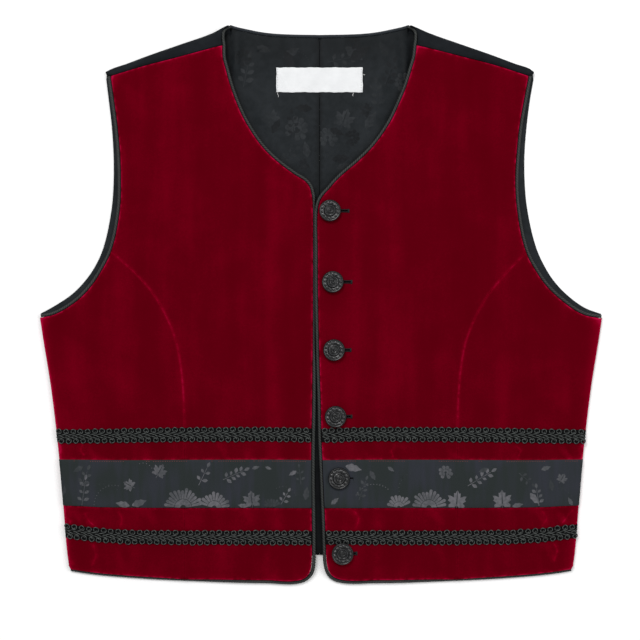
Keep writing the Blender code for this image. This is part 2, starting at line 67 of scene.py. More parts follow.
# How much thicker the hem's cord is at the corner, and the half width from which that fades
CORNER_SWELL, CORNER_SWELL_END = 0.35, 60.0
# Piping: cord above the shoulder, stretch of the right one under the left front, and its turn to the hem
SHOULDER_CORD_HEIGHT, SHOULDER_CORD_FROM = 4.5, 243.0
HIDDEN_TOP, HIDDEN_END = 97.0, -62.0
HEM_TURN, HEM_START = 6.0, 30.0
# How far the back and its lining end inside the side seam
BACK_SIDE_INSET, LINING_SIDE_INSET = 3.4, 6.5
# Spacing of points along edges, then of the grid in each piece of cloth
BACK_STEP, LINING_STEP, FRONT_STEP, TRIM_STEP, CORD_STEP = 5.0, 4.0, 3.0, 2.5, 0.75
BACK_GRID, LINING_GRID, UNDERLAP_GRID, VELVET_GRID, TRIM_GRID, LABEL_GRID = 7.0, 4.0, 6.0, 3.6, 3.0, 1.6

# Neckline from the shoulder down: half width from the neck's centre, height
NECK_CENTRE, TIP_CENTRE = -1.35, -1.1
NECK_EDGE = ((80.2, 251.3), (84.9, 248.9), (87.4, 244.8), (88.0, 238.6), (87.2, 232.0), (86.2, 221.0),
             (83.7, 212.0), (78.8, 196.0), (72.0, 179.6), (64.2, 163.4), (50.4, 142.7), (36.9, 129.2),
             (20.6, 115.9))
# Row of the neckline where the velvet starts, and how many of a front's rows give the lining its painted
# shade
SEAM_ROW, SHADE_ROWS = 4, 16
# Turn of the neckline into each closing edge: x, height
NECK_TURN = {RIGHT: ((-14.9, 110.7), (-10.6, 105.6), (-8.3, 97.5)),
             LEFT: ((12.5, 109.2), (7.0, 102.8), (2.0, 97.3), (-1.2, 91.5))}
# How far each row of the neckline lies from those half widths
NECK_SHIFT = {RIGHT: (0, 0, 0, 0, 0, -0.7, -0.9, -1.4, -2.2, -2.3, -2.3, -2.5, -1.3),
              LEFT: (0, 0, 0, 0, 0, -0.4, -0.5, -0.5, -0.5, -0.6, -1.2, -0.8, 0)}
# Front edges of the velvet: height, right front's x, left front's x
FRONT_EDGE = ((84.0, -7.4, -2.7), (48.0, -7.3, -2.8), (8.0, -7.4, -2.6), (-32.0, -7.6, -1.8),
              (-60.0, -7.8, -1.1), (-86.0, -8.0, -0.2), (-122.0, -8.7, 0.6), (-158.0, -8.9, 2.2),
              (-185.0, -8.5, 3.3), (-221.0, -8.2, 4.6), (-231.0, -8.3, 4.9))
# Rounded corner between closing edge and hem: x, height
CORNER = {RIGHT: ((-9.6, -240.2), (-12.6, -245.0), (-17.5, -248.0)),
          LEFT: ((6.6, -239.2), (9.6, -244.1), (14.8, -247.2))}
# Hem of the velvet: half width, height, and how far the piping's middle lies outside it
HEM = ((50.0, -248.6, 1.6), (97.0, -248.0, 1.3), (148.0, -246.2, 1.0), (173.0, -244.6, 1.0),
       (198.0, -242.5, 1.0), (213.0, -240.7, 1.0), (221.5, -239.3, 1.0))
# End of the hem at the side seam, then the side seam from the underarm down: half width, height
HEM_CORNER = ((225.5, -238.6), (227.4, -235.6))
SIDE_SEAM = ((253.6, -12.0), (250.4, -33.0), (243.9, -73.0), (238.8, -114.0), (234.8, -154.0),
             (231.4, -195.0), (229.0, -224.0), (227.6, -234.5))
# Armhole edge of the back: half width, height, and how far inside it the velvet ends
ARMHOLE = {
    RIGHT: ((194.4, 206.8, 4.8), (191.8, 185.4, 5.3), (188.9, 160.2, 5.8), (187.3, 135.0, 6.5),
            (187.2, 112.0, 7.2), (188.9, 87.0, 8.1), (196.7, 50.0, 8.3), (203.8, 34.2, 7.6),
            (212.4, 21.6, 7.9), (224.6, 9.0, 8.0), (243.8, -3.6, 7.0), (253.2, -8.6, 4.0)),
    LEFT: ((192.6, 206.8, 5.4), (188.8, 185.4, 5.7), (185.6, 160.2, 7.0), (183.7, 135.0, 7.7),
           (183.8, 112.0, 9.0), (186.0, 87.0, 9.8), (194.6, 50.0, 10.6), (201.8, 34.2, 9.6),
           (209.7, 21.6, 8.8), (221.3, 9.0, 7.6), (238.6, -3.6, 6.6), (253.2, -9.0, 4.2)),
}
# Row of the armhole where the princess seam starts, and the seam's half widths and heights below it
PRINCESS_ROW = 6
PRINCESS = ((162.7, 23.6), (148.7, 6.3), (135.8, -18.0), (129.5, -36.0), (125.2, -62.0), (123.1, -100.0),
            (123.1, -150.0), (123.1, -200.0))
# Its end at the hem
PRINCESS_HEM = (123.1, -247.9)
# Shoulder fold and seam: half width, height. Their first rows are measured from the neck's centre, and their
# last from the shoulder tips' own.
SHOULDER_FOLD = ((81.6, 250.6), (98.0, 243.4), (126.0, 233.8), (155.0, 223.9), (176.0, 216.2),
                 (187.9, 212.3), (193.2, 209.2))
SHOULDER_SEAM = ((87.2, 232.0), (126.0, 222.6), (156.0, 215.4), (187.6, 205.6))
# Back neck and back hem: half width, height
BACK_NECK = ((0.0, 239.8), (30.0, 240.4), (43.0, 241.2), (54.0, 242.6), (65.0, 244.8), (76.0, 247.3),
             (81.4, 249.0))
BACK_HEM = ((223.5, -233.0), (150.0, -234.5), (80.0, -231.5), (0.0, -226.3))
# How far the lining ends above the back's hem
LINING_HEM_RISE = 2.0
# How far the top of the shoulder's fold is pulled outwards at the neck, bulges out below it, and bulges up
NECK_PULL, NECK_BULGE, FOLD_BULGE = 7.0, 1.2, 0.6
# Area of the back's shoulder that goes round the fold and on to the seam, in square millimetres
FORWARD_SHOULDER_AREA = 3000.0
# Trims: half width, upper braid's middle, band's top, band's bottom, lower braid's middle
TRIMS = ((0.0, -118.2, -140.4, -183.4, -210.1), (30.0, -117.2, -139.9, -183.4, -210.1),
         (120.0, -117.4, -140.1, -183.4, -210.1), (170.0, -118.2, -140.4, -183.2, -209.6),
         (200.0, -118.8, -140.3, -182.7, -207.9), (216.0, -119.0, -140.0, -181.8, -205.8),
         (240.0, -119.0, -139.8, -181.0, -203.2))
UPPER_BRAID, BAND_TOP, BAND_BOTTOM, LOWER_BRAID = 1, 2, 3, 4
# The band's edges, and which way the velvet lies from each
BAND_EDGES = ((BAND_TOP, 1), (BAND_BOTTOM, -1))
# Underlap: x, height
UNDERLAP = ((-19.0, 95.0), (-8.0, 97.5), (24.0, 90.0), (31.0, 40.0), (33.0, -60.0), (33.0, -236.0),
            (4.0, -225.4), (-19.0, -222.0))
# Buttons: x, height, and the x where the buttonhole ends
BUTTONS = ((8.1, 83.7, 24.3), (10.5, 19.8, 27.0), (11.7, -41.4, 26.1), (13.1, -101.2, 27.0),
           (16.2, -156.6, 29.0), (19.4, -224.3, 31.5))
BUTTON_RADIUS, SHANK_RADIUS, BUTTON_RISE, BUTTON_SIDES = 9.8, 1.4, 2.4, 120
# Half width of a buttonhole's slot
SLOT_HALF = 0.5
# Label: width and height, then x and height of its middle
LABEL_SIZE, LABEL_CENTRE = (78.0, 22.5), (-1.35, 202.0)

# Soft creases of the velvet: side, distance from the middle and height of each end, half width across,
# and rise, below zero for a trough
CREASES = (
    (RIGHT, 60.0, -129.0, 66.0, -138.0, 3.0, 0.5),
    (RIGHT, 92.0, -126.0, 88.0, -139.0, 3.5, -0.4),
    (RIGHT, 150.0, -128.0, 158.0, -139.0, 4.0, 0.6),
    (RIGHT, 205.0, -127.0, 200.0, -139.0, 4.0, 0.5),
    (RIGHT, 30.0, -186.0, 38.0, -202.0, 4.0, 0.6),
    (RIGHT, 70.0, -187.0, 66.0, -201.0, 4.0, -0.5),
    (RIGHT, 110.0, -186.0, 118.0, -202.0, 5.0, 0.6),
    (RIGHT, 160.0, -185.0, 150.0, -201.0, 5.0, -0.6),
    (RIGHT, 196.0, -184.0, 206.0, -198.0, 4.0, 0.7),
    (RIGHT, 214.0, -183.0, 226.0, -196.0, 3.5, 0.8),
    (RIGHT, 216.0, -198.0, 230.0, -186.0, 3.0, -0.5),
    (RIGHT, 44.0, -218.0, 52.0, -243.0, 5.0, 0.6),
    (RIGHT, 96.0, -218.0, 88.0, -243.0, 6.0, -0.5),
    (RIGHT, 140.0, -217.0, 150.0, -242.0, 6.0, 0.7),
    (RIGHT, 182.0, -216.0, 176.0, -240.0, 5.0, 0.5),
    (RIGHT, 208.0, -213.0, 216.0, -236.0, 5.0, -0.5),
    (RIGHT, 160.0, -10.0, 190.0, -90.0, 13.0, -0.9),
    (RIGHT, 205.0, -20.0, 214.0, -104.0, 11.0, 0.9),
    (RIGHT, 225.0, -40.0, 226.0, -100.0, 6.0, -0.5),
    (RIGHT, 60.0, 60.0, 78.0, -70.0, 16.0, -1.0),
    (RIGHT, 112.0, 190.0, 120.0, 60.0, 18.0, 0.9),
    (RIGHT, 152.0, 150.0, 160.0, 60.0, 12.0, -0.8),
    (RIGHT, 30.0, 92.0, 60.0, 120.0, 8.0, -0.6),
    (RIGHT, 100.0, -20.0, 96.0, -100.0, 10.0, 0.8),
    (LEFT, 40.0, -128.0, 48.0, -139.0, 4.0, 0.6),
    (LEFT, 74.0, -127.0, 66.0, -139.0, 4.0, -0.5),
    (LEFT, 118.0, -128.0, 124.0, -139.0, 4.0, 0.5),
    (LEFT, 180.0, -127.0, 174.0, -139.0, 4.0, 0.6),
    (LEFT, 216.0, -126.0, 228.0, -138.0, 3.0, 0.8),
    (LEFT, 26.0, -186.0, 32.0, -202.0, 4.0, -0.5),
    (LEFT, 60.0, -187.0, 52.0, -201.0, 5.0, 0.7),
    (LEFT, 98.0, -186.0, 108.0, -202.0, 5.0, -0.6),
    (LEFT, 150.0, -186.0, 144.0, -201.0, 5.0, 0.6),
    (LEFT, 190.0, -185.0, 200.0, -199.0, 4.0, -0.6),
    (LEFT, 214.0, -184.0, 222.0, -197.0, 3.5, 0.8),
    (LEFT, 56.0, -219.0, 48.0, -243.0, 5.0, 0.6),
    (LEFT, 100.0, -218.0, 110.0, -243.0, 6.0, -0.5),
    (LEFT, 156.0, -217.0, 150.0, -242.0, 6.0, 0.6),
    (LEFT, 200.0, -214.0, 206.0, -237.0, 5.0, -0.6),
    (LEFT, 150.0, -16.0, 176.0, -96.0, 13.0, 0.9),
    (LEFT, 196.0, -10.0, 206.0, -100.0, 12.0, -0.9),
    (LEFT, 228.0, -30.0, 226.0, -96.0, 7.0, 0.6),
    (LEFT, 84.0, 90.0, 70.0, -60.0, 16.0, 0.9),
    (LEFT, 124.0, 180.0, 112.0, 60.0, 18.0, -1.0),
    (LEFT, 158.0, 140.0, 152.0, 40.0, 12.0, 0.8),
    (LEFT, 36.0, 104.0, 64.0, 84.0, 8.0, 0.5),
    (LEFT, 100.0, -30.0, 104.0, -100.0, 10.0, -0.8),
)
# Sharp short creases, only a painted highlight line on the pile: side, then distance from the middle and
# height
SHARP_CREASES = (
    (RIGHT, ((231.5, -185.5), (229.0, -190.5), (225.5, -196.0))),
    (RIGHT, ((212.5, -188.5), (208.5, -195.5), (202.0, -201.0))),
    (RIGHT, ((234.5, -126.0), (233.5, -131.0), (234.0, -136.0))),
    (RIGHT, ((182.0, -187.5), (179.0, -193.5), (180.5, -199.5))),
    (RIGHT, ((205.0, -216.5), (202.5, -225.0), (205.5, -234.0))),
    (RIGHT, ((214.5, -126.5), (216.0, -131.5), (213.5, -135.5))),
    (LEFT, ((236.0, -126.0), (233.0, -131.0), (235.5, -136.5))),
    (LEFT, ((226.0, -186.0), (221.5, -191.0), (217.5, -196.5))),
    (LEFT, ((200.0, -187.0), (203.0, -193.0), (199.5, -199.0))),
    (LEFT, ((209.0, -214.5), (212.5, -222.0), (210.0, -230.0))),
    (LEFT, ((176.0, -127.5), (179.5, -132.0), (178.0, -136.5))),
    (LEFT, ((66.5, -127.0), (63.5, -132.0), (64.5, -137.0))),
    (LEFT, ((30.5, -187.0), (34.0, -193.0), (32.0, -200.0))),
)

# Rounded edges: share of the thickness that each side loses, reach of a fold's start, then the share that
# stays beside a flush seam and its reach
EDGE_SHARE, FOLD_REACH, FLUSH_SHARE, FLUSH_REACH = 0.48, 3.0, 0.25, 2.5
# Half gaps of the seams, and the gap between layers
HALF_GAP, PRINCESS_HALF_GAP, LINING_HALF_GAP = 0.15, 0.05, 0.02
SEAM_GAP = 0.3
# Soft folds of the lining: x and height of each end, half width across, and height, below zero for a trough
LINING_CREASES = ((-39.6, 238.0, -39.6, 120.0, 0.7, -0.4), (72.0, 247.0, 77.0, 196.0, 4.0, 3.4),
                  (60.0, 240.0, 68.0, 190.0, 5.0, -0.5), (-76.0, 246.0, -77.0, 206.0, 3.6, 3.0),
                  (56.0, 200.0, 50.0, 165.0, 5.0, 1.4), (-62.0, 196.0, -52.0, 160.0, 5.0, 1.2),
                  (-56.0, 190.0, -38.0, 140.0, 8.0, 0.7), (26.0, 186.0, 48.0, 130.0, 9.0, 0.8),
                  (-14.0, 180.0, -20.0, 120.0, 8.0, 0.5), (52.0, 230.0, 30.0, 216.0, 6.0, 0.5))
# Trims: gap to the velvet, then the thickness of band and tape and the tape's half width
TRIM_REST = 0.36
BAND_THICK, TAPE_THICK, TAPE_HALF = 1.0, 0.5, 6.0
# Half widths where a trim's height is read at its two ends, and how far it starts before the closing edge
TRIM_START, TRIM_END, TRIM_PAST = 20.0, 235.0, 0.1
# Gimp: pitch of the rings, their radius and middle, and the cord's radius
RING_PITCH, RING_RADIUS, RING_MIDDLE, GIMP_RADIUS = 6.7, 2.2, 4.2, 0.5
# Piping: length of one turn of the twist, and its strands
TWIST, STRANDS = 7.2, 3
# Button's face under its relief: radius, height above the head's underside
FACE_PROFILE = ((0.0, 3.5), (3.0, 3.2), (4.6, 2.6), (7.4, 1.7), (8.9, 1.9), (BUTTON_RADIUS, 1.3))
# Turned-down rows just inside the side seam
ROLL_DEPTHS = (0.8, 1.6, 2.3, 3.0)
# Loose threads of the label: foot, then the tail's points from the foot
LOOSE_THREADS = (((-37.5, -11.0), ((-0.3, -1.6), (0.5, -3.3), (0.2, -4.6))),
                 ((30.0, -11.0), ((0.5, -1.4), (-0.2, -2.6), (0.4, -3.8))),
                 ((38.6, 4.6), ((1.2, 0.3), (1.9, -0.2), (2.4, 0.5))))
# Painted sheen on turned-over pile: at edges, at the princess seam above and among the trims, beside the band
# and at sharp creases, then the height where the trims start
PILE_EDGE, PILE_SEAM, PILE_SEAM_LOW, PILE_TRIM, PILE_SHARP = 0.75, 0.22, 0.1, 0.3, 0.2
TRIMS_START = -112.0
# Painted light and shade on leaning pile, by slope across, slope upwards and steepness, with its limits, then
# painted sheen at the princess seam, at the corners that turn down and along the side seam. Slopes are taken
# over twice the reach.
LEAN_X, LEAN_Y, LEAN_STEEP, LEAN_LOWEST, LEAN_HIGHEST, LEAN_REACH = 0.22, 0.3, 0.18, -0.07, 0.17, 0.6
LEAN_SEAM, LEAN_CORNER, LEAN_FLANK = 0.13, 0.2, 0.24
TURNED_CORNERS = ((88.0, 228.0), (187.5, 204.0), (249.0, -14.5))
# View: width and middle of what the camera sees at the cloth's height, lens and sensor
VIEW_WIDTH, VIEW_CENTRE, CLOTH_HEIGHT, LENS, SENSOR = 576.0, (-0.9, -14.4), 5.0, 85.0, 36.0
# Stage, in metres: the floor's half size and depth, the strength of the surroundings, then each light's name,
# place, size and power
FLOOR_HALF, FLOOR_DEPTH, SURROUND_STRENGTH = 3.0, -0.0003, 0.5
LIGHTS = (("key_light", (-0.5, 1.1, 1.9), 0.9, 29.0), ("fill_light", (1.3, 0.3, 1.7), 1.2, 14.5))

# Figures of the bands and the lining: kind, x, y, size, turn in degrees, then the kind's own counts
BAND_FIGURES = {
    RIGHT: (("sprig", -215.0, -181.0, 22.0, 82.0, 3), ("tendril", -186.0, -181.0, 18.0, 88.0, 12),
            ("lobed", -171.0, -163.5, 7.5, 152.0), ("leaf", -172.0, -181.5, 13.0, 168.0),
            ("leaf", -170.0, -181.0, 14.0, 18.0), ("lobed", -146.0, -152.0, 9.0, 62.0),
            ("tendril", -160.0, -152.0, 9.0, 20.0, 6), ("blossom", -124.0, -183.2, 18.5, 92.0, 170.0, 13),
            ("blossom", -96.0, -183.2, 15.0, 84.0, 166.0, 10), ("sprig", -110.0, -163.0, 17.0, 64.0, 2),
            ("sprig", -88.0, -158.0, 20.0, 24.0, 4), ("leaf", -62.0, -148.0, 7.0, 15.0),
            ("leaf", -50.0, -146.5, 6.0, -20.0), ("lobed", -62.0, -178.5, 11.0, 96.0),
            ("leaf", -66.0, -182.0, 9.0, 172.0), ("sprig", -36.0, -180.0, 12.0, 60.0, 2, 4.6),
            ("leaf", -22.0, -150.0, 8.0, -150.0)),
    LEFT: (("leaf", 22.0, -145.5, 15.0, -14.0), ("leaf", 9.0, -180.0, 9.0, 40.0),
           ("tendril", 48.0, -181.0, 19.0, 60.0, 13), ("leaf", 60.0, -146.5, 7.0, -35.0),
           ("blossom", 70.0, -183.2, 12.5, 96.0, 150.0, 8), ("blossom", 97.0, -183.2, 17.0, 90.0, 172.0, 12),
           ("lobed", 122.0, -179.5, 12.0, 86.0), ("blossom", 112.0, -151.5, 7.0, 90.0, 330.0, 8),
           ("sprig", 132.0, -163.5, 24.0, 31.0, 4), ("lobed", 163.0, -179.0, 12.0, 92.0),
           ("leaf", 172.0, -182.0, 10.0, 12.0), ("sprig", 196.0, -181.5, 15.0, 98.0, 3, 5.0),
           ("leaf", 188.0, -170.0, 12.0, -52.0), ("leaf", 198.0, -149.0, 9.0, 18.0),
           ("lobed", 216.0, -158.0, 6.5, 60.0), ("leaf", 226.0, -181.0, 8.0, 118.0)),
}
BAND_SHADOW_FIGURES = {
    RIGHT: (("sprig", -216.0, -165.0, 16.0, 68.0, 2), ("leaf", -214.0, -146.0, 10.0, -150.0),
            ("tendril", -196.0, -182.0, 20.0, 60.0, 9), ("leaf", -232.0, -172.0, 9.0, 80.0),
            ("blossom", -44.0, -182.9, 9.0, 96.0, 150.0, 7), ("tendril", -34.0, -176.0, 12.0, 30.0, 8),
            ("leaf", -14.0, -176.0, 12.0, 82.0), ("sprig", -18.0, -162.0, 14.0, 96.0, 2, 4.0)),
    LEFT: (("sprig", 34.0, -176.0, 18.0, 70.0, 3, 4.6), ("leaf", 44.0, -150.0, 10.0, -60.0),
           ("tendril", 84.0, -166.0, 14.0, 100.0, 8), ("leaf", 150.0, -148.0, 9.0, 200.0),
           ("sprig", 178.0, -152.0, 14.0, -40.0, 2, 4.4), ("leaf", 208.0, -168.0, 10.0, 100.0),
           ("tendril", 214.0, -178.0, 12.0, 20.0, 7)),
}
LINING_FIGURES = {
    RIGHT: (("sprig", -70.0, 196.0, 24.0, 78.0, 3, 8.0), ("leaf", -34.0, 222.0, 17.0, 32.0),
            ("blossom", -22.0, 158.0, 12.0, 60.0, 330.0, 9), ("leaf", -62.0, 150.0, 20.0, -50.0),
            ("tendril", -24.0, 214.0, 14.0, 10.0, 12), ("lobed", -44.0, 166.0, 11.0, 130.0),
            ("leaf", -12.0, 132.0, 15.0, 100.0), ("sprig", -36.0, 128.0, 16.0, 40.0, 2, 6.0),
            ("leaf", -58.0, 232.0, 14.0, -18.0), ("blossom", -80.0, 168.0, 9.0, 20.0, 300.0, 7)),
    LEFT: (("leaf", 22.0, 232.0, 20.0, -38.0), ("sprig", 6.0, 218.0, 26.0, 12.0, 3, 7.0),
           ("lobed", 20.0, 164.0, 13.0, 70.0), ("blossom", 6.0, 150.0, 10.0, 90.0, 330.0, 8),
           ("leaf", 40.0, 158.0, 18.0, 58.0), ("sprig", 52.0, 176.0, 22.0, 96.0, 3, 7.0),
           ("tendril", 34.0, 140.0, 15.0, 30.0, 12), ("leaf", 14.0, 122.0, 13.0, 20.0),
           ("leaf", 60.0, 224.0, 15.0, 120.0), ("blossom", 74.0, 200.0, 9.0, 200.0, 300.0, 7)),
}
LINING_SHADE_FIGURES = {
    RIGHT: (("leaf", -32.0, 228.0, 19.0, -70.0), ("blossom", -70.0, 222.0, 9.0, 200.0, 330.0, 8),
            ("leaf", -8.0, 176.0, 16.0, 176.0), ("leaf", -44.0, 154.0, 15.0, 62.0),
            ("sprig", -24.0, 150.0, 20.0, 96.0, 3, 6.0), ("leaf", -80.0, 206.0, 12.0, 120.0),
            ("lobed", -14.0, 126.0, 8.0, 210.0)),
    LEFT: (("leaf", 26.0, 220.0, 22.0, 34.0), ("blossom", 30.0, 236.0, 7.0, 30.0, 300.0, 7),
           ("sprig", 58.0, 196.0, 22.0, 70.0, 3, 7.0), ("leaf", 8.0, 158.0, 14.0, -24.0),
           ("leaf", 10.0, 130.0, 17.0, 8.0), ("lobed", 42.0, 174.0, 9.0, 150.0),
           ("blossom", 28.0, 150.0, 8.0, 10.0, 320.0, 8)),
}


# Paths

def smooth_path(rows, step):
    """Points along a smooth curve through the rows, each span cut to about the step."""
    knots = np.array(rows, float)
    ends = np.vstack([2 * knots[0] - knots[1], knots, 2 * knots[-1] - knots[-2]])
    points = [knots[0]]
    for before, start, end, after in zip(ends, ends[1:], ends[2:], ends[3:]):
        span = np.linalg.norm((end - start)[:2])
        gap_in, gap_out = np.linalg.norm((start - before)[:2]), np.linalg.norm((after - end)[:2])
        slope_in = ((end - start) / span + (start - before) / gap_in) / 2
        slope_out = ((end - start) / span + (after - end) / gap_out) / 2
        count = max(1, math.ceil(span / step - 0.2))
        for t in np.arange(1, count + 1) / count:
            points.append((2 * t**3 - 3 * t**2 + 1) * start + (t**3 - 2 * t**2 + t) * span * slope_in
                          + (3 * t**2 - 2 * t**3) * end + (t**3 - t**2) * span * slope_out)
    return np.array(points)


def normals(path):
    """Unit vector to the left of the path at each point."""
    along = np.gradient(path[:, :2], axis=0)
    along /= np.linalg.norm(along, axis=1)[:, None]
    return np.column_stack([-along[:, 1], along[:, 0]])


def shifted(path, distance):
    """The path moved to its left by a distance, or by one for each point."""
    return path[:, :2] + normals(path) * np.reshape(distance, (-1, 1))


def mirrored(side, rows, centre=0.0):
    """Rows whose first column is a half width, placed on one side of a centre."""
    table = np.array(rows, float)
    table[:, 0] = centre + side * table[:, 0]
    return table


def table_at(rows, column, x):
    """A column of the table, read off at x by its first column."""
    table = np.array(rows, float)
    order = np.argsort(table[:, 0])
    return np.interp(x, table[order, 0], table[order, column])


def distance_to(path, points):
    """Shortest distance from each point to a path."""
    start, run = path[:-1, :2], np.diff(path[:, :2], axis=0)
    best = np.full(len(points), np.inf)
    for (ax, ay), (rx, ry) in zip(start, run):
        dx, dy = points[:, 0] - ax, points[:, 1] - ay
        t = np.clip((dx * rx + dy * ry) / max(rx * rx + ry * ry, 1e-9), 0, 1)
        np.minimum(best, (dx - rx * t) ** 2 + (dy - ry * t) ** 2, out=best)
    return np.sqrt(best)


def inside(polygon, points):
    """Whether each point lies inside the polygon."""
    result = np.zeros(len(points), bool)
    x, y = points[:, 0], points[:, 1]
    for (ax, ay), (bx, by) in zip(polygon, np.roll(polygon, -1, axis=0)):
        if ay != by:
            result ^= ((ay > y) != (by > y)) & (x < ax + (bx - ax) * (y - ay) / (by - ay))
    return result


def ease(t):
    """Smooth step from 0 to 1."""
    t = np.clip(t, 0.0, 1.0)
    return t * t * (3 - 2 * t)


def polygon_area(polygon):
    """Area inside a polygon."""
    x, y = polygon[:, 0], polygon[:, 1]
    return abs(np.dot(x, np.roll(y, -1)) - np.dot(y, np.roll(x, -1))) / 2


# Edges of the cloth

def front_rows(side):
    """Rows of a front's free edge, from the neck point to the hem near the princess seam."""
    column = 1 if side == RIGHT else 2
    neck = [(x + shift, y) for (x, y), shift in zip(mirrored(side, NECK_EDGE, NECK_CENTRE), NECK_SHIFT[side])]
    closing = [(row[column], row[0]) for row in FRONT_EDGE]
    hem = [(side * row[0], row[1]) for row in HEM[:2]]
    return neck + list(NECK_TURN[side]) + closing + list(CORNER[side]) + hem


def free_edge(side, step):
    """Edge of a front's velvet, from the shoulder seam to the princess seam at the hem."""
    return smooth_path(front_rows(side)[SEAM_ROW:] + [(side * PRINCESS_HEM[0], PRINCESS_HEM[1])], step)


def armhole(side, step):
    """Armhole edge of the back, with the velvet's inset as a third column."""
    return smooth_path(mirrored(side, ARMHOLE[side]), step)


def velvet_armhole(side, step):
    """Armhole edge of the velvet, and the index on it where the princess seam starts."""
    path = armhole(side, step)
    knot = mirrored(side, ARMHOLE[side])[PRINCESS_ROW]
    return shifted(path, -side * path[:, 2]), int(np.argmin(np.linalg.norm(path - knot, axis=1)))


def princess(side, step, gap):
    """Princess seam of a front, moved outwards by a gap."""
    edge, split = velvet_armhole(side, step)
    rows = [tuple(edge[split])] + [(side * row[0], row[1]) for row in PRINCESS + (PRINCESS_HEM,)]
    return shifted(smooth_path(rows, step), side * gap)


def side_seam(side, step):
    """Side seam, from the underarm down to the hem."""
    return smooth_path(mirrored(side, SIDE_SEAM), step)


def neck_first(side, rows):
    """Rows of the shoulder, the first from the neck's own centre and the last from the tips'."""
    table = mirrored(side, rows)
    table[0, 0] += NECK_CENTRE
    table[-1, 0] += TIP_CENTRE
    return table


def shoulder_normal(side):
    """Unit vector out of the shoulder, square to its fold."""
    start, end = np.array(SHOULDER_FOLD[0]), np.array(SHOULDER_FOLD[-1])
    run = (end - start) / np.linalg.norm(end - start)
    return np.array([side * -run[1], run[0]])


def fold_path(side, step):
    """The shoulder fold's outer line, and the fold's radius at each point."""
    path = smooth_path(neck_first(side, SHOULDER_FOLD), step)
    share = np.linalg.norm(path - path[-1], axis=1) / np.linalg.norm(path[0] - path[-1])
    return path, FOLD_RADIUS_TIP + (FOLD_RADIUS_NECK - FOLD_RADIUS_TIP) * share


def fold_start(side, step):
    """Line where the back starts to turn round the shoulder fold."""
    path, radii = fold_path(side, step)
    return path - shoulder_normal(side) * radii[:, None]


def shoulder_seam(side, step, offset):
    """Seam of shoulder and velvet, with a point for each point of the fold's start."""
    path = smooth_path(neck_first(side, SHOULDER_SEAM), step)
    along, wanted = (np.r_[0, np.cumsum(np.linalg.norm(np.diff(line, axis=0), axis=1))]
                     for line in (path, fold_start(side, step)))
    share = wanted / wanted[-1] * along[-1]
    seam = np.column_stack([np.interp(share, along, path[:, 0]), np.interp(share, along, path[:, 1])])
    return seam + shoulder_normal(side) * offset


def front_outline(side):
    """Coarse outline of a whole front, for the heights."""
    edge, _ = velvet_armhole(side, 14.0)
    free = free_edge(side, 14.0)
    return np.vstack([free, side_seam(side, 28.0)[::-1], edge[::-1], free[:1]])


OUTLINES = {side: front_outline(side) for side in WORDS}
SEAMS = {side: side_seam(side, 28.0) for side in WORDS}


# Heights of the fronts

def along_crease(points, start, end):
    """Share of the way along a crease, and distance across it, for each point."""
    run = np.subtract(end, start)
    length = np.linalg.norm(run)
    run /= length
    return (points - start) @ run / length, (points - start) @ np.array([-run[1], run[0]])


def crease_height(side, points):
    """Soft troughs and ridges, each along its own line and fading at both ends."""
    height = np.zeros(len(points))
    for crease_side, ax, ay, bx, by, width, rise in CREASES:
        if crease_side != side:
            continue
        along, across = along_crease(points, (side * ax, ay), (side * bx, by))
        bend = 0.25 * width * np.sin(along * 3.0 + ax)
        ends = ease((along + 0.15) / 0.5) * ease((1.15 - along) / 0.5)
        height += rise * ends * np.exp(-((across - bend) / width) ** 2)
    return height


def front_lift(side, points):
    """How far a front stands over its lowest level: at the closing edge, the neck and the chest."""
    away, y = np.abs(points[:, 0]), points[:, 1]
    lift = UNDERLAP_LIFT * ease((LIFT_FAR - away) / (LIFT_FAR - LIFT_NEAR))
    if side == LEFT:
        lift += OVERLAP_LIFT * ease((LIFT_FAR - away) / LIFT_NEAR) * ease((y - OVERLAP_LOW) / OVERLAP_RISE)
    lift += (NECK_LIFT * ease((y - NECK_LIFT_LOW) / (NECK_LIFT_HIGH - NECK_LIFT_LOW))
             * ease((NECK_LIFT_FAR - away) / (NECK_LIFT_FAR - NECK_LIFT_NEAR)))
    fade = ease((away - LOFT_NEAR) / LOFT_SPREAD) * ease((y - LOFT_LOW) / LOFT_RISE)
    return lift + CHEST_LOFT * fade * ease(distance_to(OUTLINES[side], points) / LOFT_MARGIN)


def front_heights(side, points):
    """Lower and upper face of a front, rolling down at the side seam."""
    near = np.clip(distance_to(SEAMS[side], points) / SIDE_ROLL, 0, 1)
    arc = np.sqrt(1 - (1 - near) ** 2)
    lift = front_lift(side, points) + crease_height(side, points) * near
    low = ROLL_LOW + (FRONT_LOW - ROLL_LOW) * arc + lift
    high = ROLL_HIGH + (FRONT_LOW + FRONT_THICK - ROLL_HIGH) * arc + lift
    return low, high


def front_top(side, points):
    """Height of a front's upper face."""
    return front_heights(side, np.atleast_2d(points))[1]


# Meshes

def make_object(name, points, faces, materials, slots=None, values=None, smooth=True):
    """Mesh object from points in millimetres, which rides on the waistcoat."""
    mesh = bpy.data.meshes.new(name)
    mesh.from_pydata((np.asarray(points, float) * MM).tolist(), [], [tuple(map(int, face)) for face in faces])
    for material in materials:
        mesh.materials.append(material)
    if slots is not None:
        mesh.polygons.foreach_set("material_index", np.asarray(slots, dtype=np.int32))
    mesh.polygons.foreach_set("use_smooth", np.full(len(mesh.polygons), smooth))
    for key, numbers in (values or {}).items():
        layer = mesh.attributes.new(key, "FLOAT", "POINT")
        layer.data.foreach_set("value", np.asarray(numbers, dtype=np.float32))
    mesh.update()
    piece = bpy.data.objects.new(name, mesh)
    bpy.context.scene.collection.objects.link(piece)
    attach(piece, "root")
    return piece


